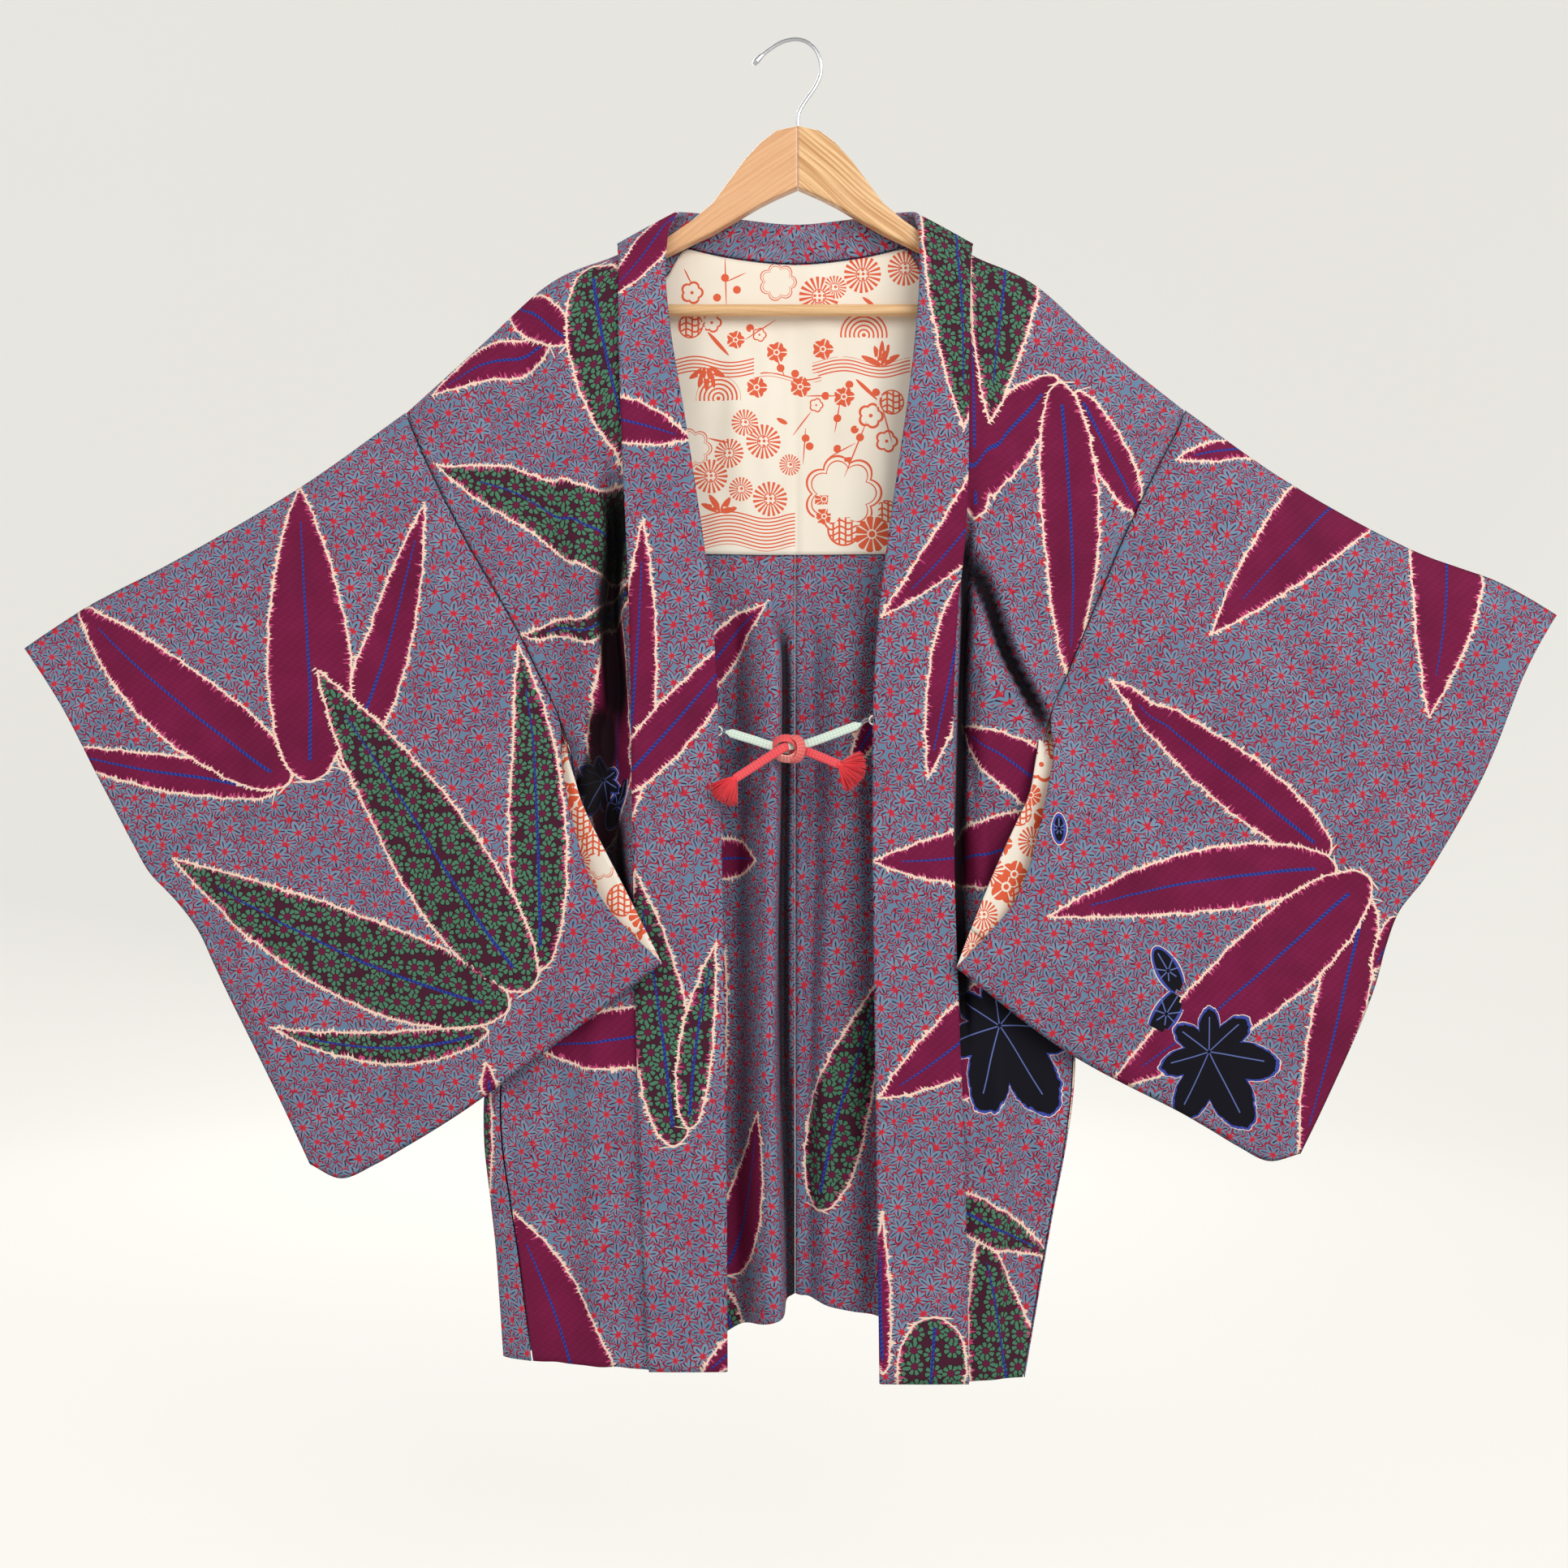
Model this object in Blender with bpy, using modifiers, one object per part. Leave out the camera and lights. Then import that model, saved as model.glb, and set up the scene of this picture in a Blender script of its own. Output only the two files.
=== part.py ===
"""A woman's haori jacket, open in front and tied with a short cord, hung on a small
wooden hanger with its sleeves spread. Sizes are in millimetres and are scaled to metres
where a mesh is made. The front faces -Y, +Z is up and +X is the viewer's right. The
origin is the inner top of the hanger's hook."""
import math

import bmesh
import bpy
import numpy as np

MM = 0.001

# Cloth
WALL = 1.5                # body, sleeve and gusset cloth with its lining
COLLAR_WALL = 1.5         # one layer of the folded collar band
LINING_WALL = 1.0
SEAM = 0.3                # from a seam's line to the edge on each side, or edge to face
COLLAR_SEAM = 1.0         # the collar's seam turns with the shoulder, so it is wider
EDGE_TO_FACE = WALL / 2 + SEAM   # where a piece's edge meets the face of another
ARMHOLE_LEVEL = 0.6       # how far up the collar's front the armhole's end lies
COLLAR_HALF_GAP = 1.7     # from the collar's middle to the middle of each of its layers
COLLAR_TURN = 1.3         # where its layers start to turn into the fold
COLLAR_ROLL = 0.6         # how far the fold itself stands out
COLLAR_FULLNESS = 1.25    # the outer layer stands this much further off halfway
LAYER_APART = WALL + SEAM # a sleeve's front layer lies this far before its back one
RIDGE_APART = 0.75        # the body's layers each part this far at the shoulder ridge
RIDGE_FADE = 12.0         # and come back to their own depth over this
RIDGE_SHARE = ((-2, 0.0), (0, 0.55), (3, 1.0))   # columns from the collar, and share

# How finely the cloth is divided
SIDE_ROWS = 12            # hem to armhole end
# Shares of the way from the armhole end to the shoulder ridge, closer where the cloth
# turns over the hanger.
ARMHOLE_SHARES = (0.0, 0.14, 0.28, 0.42, 0.56, 0.70, 0.83, 0.93, 0.975, 1.0)
ARMHOLE_ROWS = len(ARMHOLE_SHARES) - 1
RIDGE_TURN = 8.0          # the ridge's own depth dies away over this length below it
FRONT_COLUMNS = 13
NECK_COLUMNS = 8          # centre back to the ridge of the shoulder
SLEEVE_COLUMNS = 12
FURI_ROWS = 7
GUSSET_COLUMNS = 5
LINING_ROWS = 8
CURVE_SAMPLES = 40        # taken between two rows of a table to measure its curve

# Hanger
ARM_THICKNESS = 11.0
ARM_EDGE = 1.5
HANGER_CENTRE = 2.0
BAR_RADIUS = 4.5
BAR_HEIGHT = -202.0
WIRE_RADIUS = 1.5
ARM_TIP = dict(out=161.5, height=-198.0, radius=12.0)
ARM_INNER_FACE = 153.3    # where the bar ends
TIP_ANGLES = range(80, -91, -17)
HOOK_PIECES = 34
HOOK_BALL = (1.45, 1.6, 1.0)   # the wire's swelling over its last points

# Tied cord
BRAID_WIDTH = 6.5
BRAID_THICKNESS = 2.2
KNOT = dict(x=-5.0, y=-28.0, z=-532.0, half_width=12.0, half_depth=6.0, half_height=10.5)
TASSEL_DEPTH = -35.5      # clear of the collar's front
LOOP_RING = 3.6           # radius of a cord loop's ring
LOOP_WIRE = 0.6
LOOP_CLEARANCE = 0.15
LOOP_POINTS = 14
BRAID_POINTS = 9
BRAID_GAP = 0.4           # to the loop that it hangs on
BRAID_SAG = 1.5
TAIL_SAG = -1.0
KNOT_GAP = 0.8            # from the knot to a braid's end
TASSEL_GAP = 1.5
TASSEL_HEAD = dict(length=7.0, neck=2.4, mouth=5.2)
TASSEL_FLATNESS = 0.75
STRAND = dict(length=15.0, radius=0.62, tip=0.7, sink=1.5, fan=0.22, fan_depth=0.08)
STRAND_RINGS = ((0.0, 1), (1.9, 6), (3.8, 11))   # radius and number of strands
CORD_ENDS = {
    # side: height of its loop, foot of its tail, way its tassel points
    "left": (-518.0, (-46.0, -554.0), (-0.62, -0.78)),
    "right": (-511.5, (33.0, -545.0), (0.86, -0.5)),
}


def arm_rows():
    """The hanger's arm: distance from its centre, top and bottom."""
    return [
        # out,   top,    bottom
        (0.15, -65.0, -111.0),
        (16.0, -68.5, -118.0),
        (28.0, -77.5, -124.0),
        (40.0, -90.5, -131.0),
        (50.0, -104.0, -137.0),
        (64.0, -123.0, -145.0),
        (79.0, -135.5, -152.0),
        (98.0, -148.5, -161.5),
        (112.0, -161.0, -169.5),
        (150.0, -181.0, -190.0),
    ]


HOOK = [
    # x,     z
    (2.0, -64.4),
    (2.5, -54.0),
    (7.5, -45.0),
    (14.5, -35.0),
    (18.6, -26.0),
    (19.2, -16.0),
    (15.5, -6.5),
    (8.5, -0.3),
    (0.0, 1.5),
    (-10.0, -0.6),
    (-20.0, -6.6),
    (-28.0, -13.5),
    (-31.5, -17.7),
]

# The collar band, from a front hem up to the shoulder. fold is its inner edge, edge its
# free outer edge, drop how much lower that edge lies, depth the y of both, under the
# width of the half that is sewn to the body.
COLLAR_FRONT = {
    "left": [
        # height,  fold,   edge,   drop, depth, under
        (-991.0, -51.0, -108.0, 0.0, -22.0, 53.0),
        (-818.0, -52.0, -115.0, 0.0, -25.0, 59.0),
        (-578.0, -56.0, -120.0, 0.0, -27.0, 60.0),
        (-434.0, -62.0, -122.0, 0.0, -27.0, 56.0),
        (-302.0, -80.0, -128.0, 0.0, -24.0, 44.0),
        (-198.0, -96.0, -131.0, 8.0, -19.0, 31.0),
        (-152.0, -96.0, -131.0, 19.0, -14.0, 32.0),
    ],
    "right": [
        # height,  fold,   edge,   drop, depth, under
        (-1000.0, 63.0, 128.0, 0.0, -22.0, 61.0),
        (-853.0, 61.0, 125.0, 0.0, -25.0, 60.0),
        (-631.0, 58.0, 117.0, 0.0, -27.0, 55.0),
        (-506.0, 58.0, 116.0, 0.0, -27.0, 54.0),
        (-434.0, 62.0, 119.0, 0.0, -27.0, 53.0),
        (-362.0, 71.0, 126.0, 0.0, -26.0, 51.0),
        (-265.0, 85.0, 128.0, 0.0, -23.0, 39.0),
        (-198.0, 92.0, 129.0, 8.0, -19.0, 31.0),
        (-152.0, 93.0, 130.0, 19.0, -14.0, 32.0),
    ],
}

# The collar over one shoulder and half the back neck, mirrored for the other half.
COLLAR_NECK = [
    # fold_x, fold_y, fold_z, edge_x, edge_y, edge_z, under
    (89.0, 0.0, -130.0, 131.0, -1.0, -155.5, 27.0),
    (85.5, 6.0, -127.5, 124.0, 12.5, -164.0, 26.0),
    (76.0, 10.0, -126.5, 101.0, 15.5, -175.0, 26.0),
    (42.0, 11.5, -131.0, 52.0, 16.0, -184.0, 28.0),
    (0.0, 11.5, -135.0, 0.0, 16.0, -189.0, 28.0),
]

# The shoulder ridge from the collar out to the armhole.
RIDGE = {
    "left": [(-131.0, -160.0), (-154.0, -168.0), (-183.0, -181.5), (-236.0, -229.0)],
    "right": [(131.0, -160.5), (154.0, -170.0), (180.0, -183.5), (232.0, -230.0)],
}

# The body's side, from the hem up. front and back are the depths of the two panels'
# edges there, and back_x is the back panel's edge.
SIDE_SEAM = {
    "left": [
        # x,     height, front, back_x, back
        (-195.0, -986.0, -14.0, -192.0, 12.0),
        (-206.0, -905.0, -12.0, -200.0, 12.0),
        (-220.0, -795.0, -7.0, -215.0, 11.0),
        (-200.0, -668.0, -3.0, -198.0, 10.0),
        (-178.0, -600.0, -4.0, -178.0, 8.0),
        (-167.0, -556.0, -5.0, -168.0, 7.0),
        (-166.0, -532.0, -5.0, -166.0, 6.5),
        (-176.0, -510.0, -6.0, -176.0, 6.0),
    ],
    "right": [
        # x,     height, front, back_x, back
        (169.0, -998.0, -14.0, 148.0, 10.0),
        (186.0, -900.0, -12.0, 170.0, 11.0),
        (206.0, -785.0, -7.0, 198.0, 11.0),
        (204.0, -668.0, -3.0, 202.0, 10.0),
        (190.0, -600.0, -4.0, 190.0, 8.0),
        (182.0, -554.0, -5.0, 182.0, 7.0),
        (181.0, -528.0, -5.0, 181.0, 6.5),
        (191.0, -506.0, -6.0, 191.0, 6.0),
    ],
}
GUSSET_BULGE = {"left": 24.0, "right": 8.0}
GUSSET_TOP = 0.75         # the wedge starts just below the armhole end
GUSSET_TOP_FULLNESS = 0.06

# The armhole, from its lower end up to the shoulder ridge.
ARMHOLE = {
    "left": [
        # x,     height, front, back
        (-176.0, -510.0, -6.0, 6.0),
        (-207.0, -443.0, -12.0, 8.0),
        (-241.0, -384.0, -13.0, 9.0),
        (-271.0, -326.0, -11.0, 9.5),
        (-285.0, -295.0, -8.0, 8.0),
        (-292.0, -279.5, 0.0, 0.0),
    ],
    "right": [
        # x,     height, front, back
        (191.0, -506.0, -6.0, 6.0),
        (222.0, -428.0, -12.0, 8.0),
        (248.0, -366.0, -13.0, 9.0),
        (272.0, -318.0, -11.0, 9.5),
        (286.0, -292.0, -8.0, 8.0),
        (292.0, -277.5, 0.0, 0.0),
    ],
}

# The centre back seam and the back hem.
CENTRE_BACK = [
    # height, depth
    (-945.0, 15.0),
    (-700.0, 15.0),
    (-450.0, 13.0),
]
BACK_HEM_DIP = {"left": -24.0, "right": 6.0}

# Each sleeve's edges. depth is that of the folded top and of the closed edges.
SLEEVE_TOP = {
    "left": [(-369.0, -334.0), (-466.0, -391.0), (-531.0, -425.0), (-578.0, -456.0)],
    "right": [(367.0, -330.0), (464.0, -383.0), (530.0, -407.5), (571.0, -431.0)],
}
SLEEVE_CUFF = {
    "left": [
        # x,     height, half the opening
        (-578.0, -456.0, 0.0),
        (-549.0, -496.0, 7.0),
        (-512.0, -566.0, 8.0),
        (-477.0, -632.0, 2.0),
        (-455.0, -654.0, 0.0),
        (-426.0, -712.0, 0.0),
        (-386.0, -793.0, 0.0),
        (-363.0, -842.0, 0.0),
    ],
    "right": [
        # x,     height, half the opening
        (571.0, -431.0, 0.0),
        (547.0, -468.0, 7.0),
        (512.0, -552.0, 8.0),
        (470.0, -629.0, 2.0),
        (450.0, -657.0, 0.0),
        (431.0, -718.0, 0.0),
        (398.0, -793.0, 0.0),
        (378.0, -834.0, 0.0),
    ],
}
SLEEVE_BOTTOM = {
    "left": [
        # x,     height, depth
        (-363.0, -842.0, -3.0),
        (-346.0, -853.0, -3.0),
        (-274.0, -818.0, -8.0),
        (-181.0, -752.0, -25.0),
        (-97.0, -688.0, -41.0),
    ],
    "right": [
        # x,     height, depth
        (378.0, -834.0, -3.0),
        (362.0, -841.0, -3.0),
        (287.0, -802.0, -8.0),
        (199.0, -754.0, -24.0),
        (117.0, -691.0, -39.0),
    ],
}
# The sleeve's free inner edge below the armhole, front and back layers.
FURI = {
    "left": {
        "front": [
            (-176.0, -510.0, -6.0),
            (-174.0, -532.0, -15.0),
            (-166.0, -574.0, -28.0),
            (-143.0, -638.0, -40.0),
            (-97.0, -688.0, -41.0),
        ],
        "back": [
            (-176.0, -510.0, 6.0),
            (-182.0, -526.0, -2.5),
            (-171.0, -547.0, -14.0),
            (-152.0, -584.0, -22.0),
            (-124.0, -636.0, -32.0),
            (-97.0, -688.0, -41.0),
        ],
    },
    "right": {
        "front": [
            (191.0, -506.0, -6.0),
            (192.0, -528.0, -15.0),
            (184.0, -566.0, -28.0),
            (161.0, -640.0, -38.0),
            (117.0, -691.0, -39.0),
        ],
        "back": [
            (191.0, -506.0, 6.0),
            (197.0, -521.0, -2.5),
            (187.0, -543.0, -14.0),
            (167.0, -578.0, -22.0),
            (142.0, -630.0, -31.0),
            (117.0, -691.0, -39.0),
        ],
    },
}

# Folds: soft troughs (depth above zero goes back) and ridges along a line from top to
# foot, fading at both ends.
FOLDS = {
    "front_left": [
        # top_x, top_z, foot_x, foot_z, half_width, depth
        (-138.0, -290.0, -134.0, -700.0, 11.0, 20.0),
        (-160.0, -320.0, -155.0, -720.0, 12.0, -7.0),
        (-144.0, -740.0, -142.0, -1010.0, 12.0, -5.0),
        (-176.0, -700.0, -168.0, -1010.0, 12.0, 4.0),
        (-230.0, -330.0, -200.0, -450.0, 16.0, -4.0),
    ],
    "front_right": [
        (132.0, -290.0, 125.0, -760.0, 7.0, 15.0),
        (142.0, -370.0, 176.0, -530.0, 11.0, 8.0),
        (152.0, -700.0, 142.0, -1010.0, 13.0, -6.0),
        (178.0, -740.0, 160.0, -1010.0, 11.0, 4.0),
        (226.0, -330.0, 206.0, -450.0, 16.0, -4.0),
    ],
    "back_left": [
        (-30.0, -400.0, -22.0, -1040.0, 15.0, -27.0),
        (-92.0, -420.0, -84.0, -1010.0, 18.0, -6.0),
        (-41.0, -200.0, -44.0, -420.0, 14.0, -4.0),
        (-150.0, -460.0, -140.0, -1010.0, 16.0, -7.0),
        (-215.0, -300.0, -190.0, -560.0, 18.0, -5.0),
    ],
    "back_right": [
        (42.0, -400.0, 38.0, -1010.0, 13.0, -7.0),
        (50.0, -200.0, 62.0, -400.0, 16.0, -3.0),
        (100.0, -480.0, 84.0, -1010.0, 17.0, -8.0),
        (150.0, -460.0, 128.0, -1010.0, 14.0, -7.0),
        (215.0, -300.0, 196.0, -560.0, 18.0, -5.0),
    ],
    "sleeve_left_front": [
        (-300.0, -380.0, -330.0, -700.0, 26.0, 5.0),
        (-400.0, -480.0, -380.0, -720.0, 22.0, -5.0),
        (-210.0, -560.0, -250.0, -760.0, 20.0, -4.0),
    ],
    "sleeve_left_back": [
        (-320.0, -400.0, -340.0, -760.0, 26.0, 5.0),
        (-450.0, -470.0, -400.0, -720.0, 24.0, -4.0),
    ],
    "sleeve_right_front": [
        (262.0, -420.0, 236.0, -660.0, 16.0, 5.0),
        (330.0, -390.0, 320.0, -720.0, 22.0, -5.0),
        (430.0, -460.0, 400.0, -740.0, 24.0, 4.0),
    ],
    "sleeve_right_back": [
        (320.0, -400.0, 330.0, -760.0, 26.0, 5.0),
        (450.0, -470.0, 400.0, -720.0, 24.0, -4.0),
    ],
}
FOLD_FADE = 90.0          # a fold's depth builds up over this length at each end
SEAM_FADE = 7             # and, next to a seam, over a seventh of the cloth
BULGE = {"front": -8.0, "back": 5.0}   # the sleeve's fullness between its edges
BULGE_SKEW = 0.8          # below 1 it is fullest nearer the body
BULGE_FLATNESS = 0.6      # below 1 it is flatter over the middle
CLOSED_CUFF = 1.0         # a cuff this narrow is sewn shut

LINING_FOOT = -384.0      # straight lower edge of the back lining
LINING_SIDE_COLUMNS = 2   # how far the lining runs out past the neck
LINING_BELOW_RIDGE = 30.0 # there it starts this far below the shoulder ridge
LINING_BELOW_NECK = 1.2
LINING_OFF = 2.3          # from the middle of the cloth to the middle of the lining
LINING_SHIFT = np.array([0.0, -LINING_OFF, 0.0])
SLEEVE_LINING_COLUMNS = 3

COLOURS = {
    "cloth": (0.30, 0.25, 0.42),
    "lining": (0.90, 0.82, 0.72),
    "wood": (0.80, 0.50, 0.26),
    "steel": (0.62, 0.62, 0.64),
    "cord_white": (0.80, 0.88, 0.82),
    "cord_coral": (0.90, 0.25, 0.28),
    "tassel_red": (0.85, 0.05, 0.09),
    "loop": (0.35, 0.36, 0.42),
}


# ---------------------------------------------------------------- curves and surfaces

def through(rows, position):
    """The smooth curve through the rows, at a position counted in rows."""
    rows = np.asarray(rows, float)
    last = len(rows) - 1
    index = min(max(int(math.floor(position)), 0), last - 1)
    share = position - index
    here, there = rows[index], rows[index + 1]
    before = rows[index - 1] if index > 0 else 2 * here - there
    after = rows[index + 2] if index + 2 <= last else 2 * there - here
    chords = [max(np.linalg.norm(b - a), 1e-6) ** 0.5 for a, b in
              ((before, here), (here, there), (there, after))]
    leave = (here - before) / chords[0] - (there - before) / (chords[0] + chords[1])
    leave = (leave + (there - here) / chords[1]) * chords[1]
    arrive = (there - here) / chords[1] - (after - here) / (chords[1] + chords[2])
    arrive = (arrive + (after - there) / chords[2]) * chords[1]
    s2, s3 = share * share, share ** 3
    return ((2 * s3 - 3 * s2 + 1) * here + (s3 - 2 * s2 + share) * leave
            + (3 * s2 - 2 * s3) * there + (s3 - s2) * arrive)


def even(rows, count=None, first=0, last=None, spread=3, shares=None):
    """count + 1 points evenly along the curve through rows, from row first to row last,
    or a point at each of the shares. Only the first `spread` columns count as length."""
    last = len(rows) - 1 if last is None else last
    steps = np.linspace(first, last, CURVE_SAMPLES * (last - first) + 1)
    dense = np.array([through(rows, step) for step in steps])
    lengths = travel(dense[:, :spread])
    shares = np.linspace(0.0, 1.0, count + 1) if shares is None else np.array(shares)
    return np.array([[np.interp(share * lengths[-1], lengths, column)
                      for column in dense.T] for share in shares])


def travel(points):
    """Length along the points, from nothing at the first."""
    steps = np.linalg.norm(np.diff(points, axis=0), axis=1)
    return np.concatenate([[0.0], np.cumsum(steps)])


def patch(bottom, top, start, end, turn=None):
    """A Coons surface between four edges: start and end run from bottom to top, bottom
    and top run from start to end. Rows go up, columns go across. With turn, the top
    edge's own depth dies away over that length instead of over the whole height."""
    lengths = travel(end)
    v = (lengths / lengths[-1])[:, None, None]
    u = np.linspace(0.0, 1.0, len(bottom))[None, :, None]
    across = (1 - u) * start[:, None, :] + u * end[:, None, :]
    from_bottom = bottom[None, :, :] - (1 - u) * bottom[0] - u * bottom[-1]
    from_top = top[None, :, :] - (1 - u) * top[0] - u * top[-1]
    surface = across + (1 - v) * from_bottom + v * from_top
    if turn is not None:
        near = np.exp((lengths - lengths[-1]) / turn)[:, None]
        surface[..., 1] += (near - v[..., 0]) * from_top[..., 1]
    return surface


def smoothstep(value):
    value = np.clip(value, 0.0, 1.0)
    return value * value * (3 - 2 * value)


def fold(points, folds, keep=0.0):
    """Moves the points in depth along each fold. The outer rows and columns, which are
    seams, stay where they are, apart from the share given by keep at the hem row."""
    points = points.copy()
    rows, columns = points.shape[:2]
    across = np.linspace(0.0, 1.0, columns)[None, :]
    up = np.linspace(0.0, 1.0, rows)[:, None]
    inside = smoothstep(across * SEAM_FADE) * smoothstep((1 - across) * SEAM_FADE)
    inside = inside * smoothstep((1 - up) * SEAM_FADE)
    inside = inside * np.maximum(smoothstep(up * SEAM_FADE), keep)
    x, z = points[..., 0], points[..., 2]
    for top_x, top_z, foot_x, foot_z, half_width, depth in folds:
        length = top_z - foot_z
        share = (top_z - z) / length
        centre = top_x + (foot_x - top_x) * np.clip(share, 0.0, 1.0)
        ends = smoothstep((top_z - z) / FOLD_FADE) * smoothstep((z - foot_z) / FOLD_FADE)
        profile = np.exp(-((x - centre) / half_width) ** 2)
        points[..., 1] += depth * profile * ends * inside
    return points


# ---------------------------------------------------------------------- Blender objects

def clear_scene():
    for thing in list(bpy.data.objects):
        bpy.data.objects.remove(thing)


def new_collection(name):
    made = bpy.data.collections.new(name)
    bpy.context.scene.collection.children.link(made)
    return made


def material(name, colour, roughness=0.8, metallic=0.0):
    made = bpy.data.materials.new(name)
    made.use_nodes = True
    shader = made.node_tree.nodes["Principled BSDF"]
    shader.inputs["Base Color"].default_value = (*colour, 1.0)
    shader.inputs["Roughness"].default_value = roughness
    shader.inputs["Metallic"].default_value = metallic
    return made


def add_object(name, data, colour, collection, roughness=0.8, metallic=0.0):
    made = bpy.data.objects.new(name, data)
    data.materials.append(material(name, colour, roughness, metallic))
    collection.objects.link(made)
    return made


def cloth(name, points, wall, colour, collection):
    """One piece of cloth: a grid laid on rows and columns of points and thickened both
    ways."""
    mesh = bmesh.new()
    rows, columns = points.shape[:2]
    bmesh.ops.create_grid(mesh, x_segments=columns - 1, y_segments=rows - 1, size=1.0)
    for vertex in mesh.verts:
        column = round((vertex.co.x + 1) / 2 * (columns - 1))
        row = round((vertex.co.y + 1) / 2 * (rows - 1))
        vertex.co = points[row, column] * MM
    data = bpy.data.meshes.new(name)
    mesh.to_mesh(data)
    mesh.free()
    data.shade_smooth()
    made = add_object(name, data, colour, collection)
    thicken = made.modifiers.new("wall", "SOLIDIFY")
    thicken.thickness = wall * MM
    thicken.offset = 0.0
    return made


def poly_curve(name, points, colour, collection, radius=0.0, half_width=0.0,
               resolution=2, cyclic=False, radii=None, **finish):
    """A wire, or a flat braid where half_width is given, along the points."""
    data = bpy.data.curves.new(name, "CURVE")
    data.dimensions = "3D"
    data.bevel_depth = radius * MM
    data.extrude = half_width * MM
    data.bevel_resolution = resolution
    data.use_fill_caps = not cyclic
    spline = data.splines.new("POLY")
    spline.points.add(len(points) - 1)
    for index, point in enumerate(points):
        spline.points[index].co = (*(np.asarray(point) * MM), 1.0)
        if radii is not None:
            spline.points[index].radius = radii[index]
    spline.use_cyclic_u = cyclic
    return add_object(name, data, colour, collection, **finish)


# ------------------------------------------------------------------------------ hanger

def make_arm(side, collection):
    sign = -1 if side == "left" else 1
    rows = arm_rows()
    tip = ARM_TIP
    angles = [math.radians(angle) for angle in TIP_ANGLES]
    outline = [(out, top) for out, top, _ in rows]
    outline += [(tip["out"] + tip["radius"] * math.cos(angle),
                 tip["height"] + tip["radius"] * math.sin(angle)) for angle in angles]
    outline += [(ARM_INNER_FACE, tip["height"] - tip["radius"]),
                (ARM_INNER_FACE, rows[-1][2] - ARM_EDGE)]
    outline += [(out, bottom) for out, _, bottom in reversed(rows)]
    name = "hanger_arm_" + side
    data = bpy.data.curves.new(name, "CURVE")
    data.dimensions = "2D"
    data.fill_mode = "BOTH"
    data.extrude = (ARM_THICKNESS / 2 - ARM_EDGE) * MM
    data.bevel_depth = ARM_EDGE * MM
    data.offset = -ARM_EDGE * MM
    data.bevel_resolution = 1
    spline = data.splines.new("POLY")
    spline.points.add(len(outline) - 1)
    for index, (out, height) in enumerate(outline):
        spline.points[index].co = (sign * out * MM, height * MM, 0.0, 1.0)
    spline.use_cyclic_u = True
    made = add_object(name, data, COLOURS["wood"], collection, roughness=0.45)
    made.rotation_euler = (math.pi / 2, 0.0, 0.0)
    made.location = (HANGER_CENTRE * MM, 0.0, 0.0)


def make_bar(collection):
    """The trouser bar, held between the inner faces of the arms' tips."""
    half = ARM_INNER_FACE - SEAM
    mesh = bmesh.new()
    bmesh.ops.create_cone(mesh, cap_ends=True, segments=16, radius1=BAR_RADIUS * MM,
                          radius2=BAR_RADIUS * MM, depth=2 * half * MM)
    data = bpy.data.meshes.new("hanger_bar")
    mesh.to_mesh(data)
    mesh.free()
    data.shade_smooth()
    data.set_sharp_from_angle(angle=math.radians(40))
    made = add_object("hanger_bar", data, COLOURS["wood"], collection, roughness=0.45)
    made.rotation_euler = (0.0, math.pi / 2, 0.0)
    made.location = (HANGER_CENTRE * MM, 0.0, BAR_HEIGHT * MM)


def make_hook(collection):
    rows = [(x, 0.0, z) for x, z in HOOK]
    points = even(rows, HOOK_PIECES)
    radii = [1.0] * (len(points) - len(HOOK_BALL)) + list(HOOK_BALL)
    poly_curve("hanger_hook", points, COLOURS["steel"], collection, radius=WIRE_RADIUS,
               radii=radii, roughness=0.3, metallic=1.0)


# ------------------------------------------------------------------------------ collar

def neck_rows(side):
    sign = -1 if side == "left" else 1
    return [(sign * fx, fy, fz, sign * ex, ey, ez, under)
            for fx, fy, fz, ex, ey, ez, under in COLLAR_NECK]


def collar_rows():
    """The whole band: left hem, left shoulder, back neck, right shoulder, right hem.
    Each row is the fold's point, the free edge's point and the width of the under half."""
    def front(side):
        return [(fold_x, depth, height, edge, depth, height - drop, under)
                for height, fold_x, edge, drop, depth, under in COLLAR_FRONT[side]]
    left, right = front("left"), front("right")
    neck = neck_rows("left")
    return left + neck + neck_rows("right")[-2::-1] + right[::-1]


def collar_stations():
    rows = collar_rows()
    left_top = len(COLLAR_FRONT["left"])
    right_top = left_top + 2 * len(COLLAR_NECK) - 2
    end = len(rows) - 1
    lower = np.linspace(0.0, ARMHOLE_LEVEL, SIDE_ROWS + 1)[:-1]
    upper = ARMHOLE_LEVEL + (1 - ARMHOLE_LEVEL) * np.array(ARMHOLE_SHARES)
    shares = np.concatenate([lower, upper])
    return np.concatenate([
        even(rows, first=0, last=left_top, shares=shares),
        even(rows, 2 * NECK_COLUMNS, left_top, right_top)[1:-1],
        even(rows, first=right_top, last=end, shares=1 - shares[::-1]),
    ])


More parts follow.
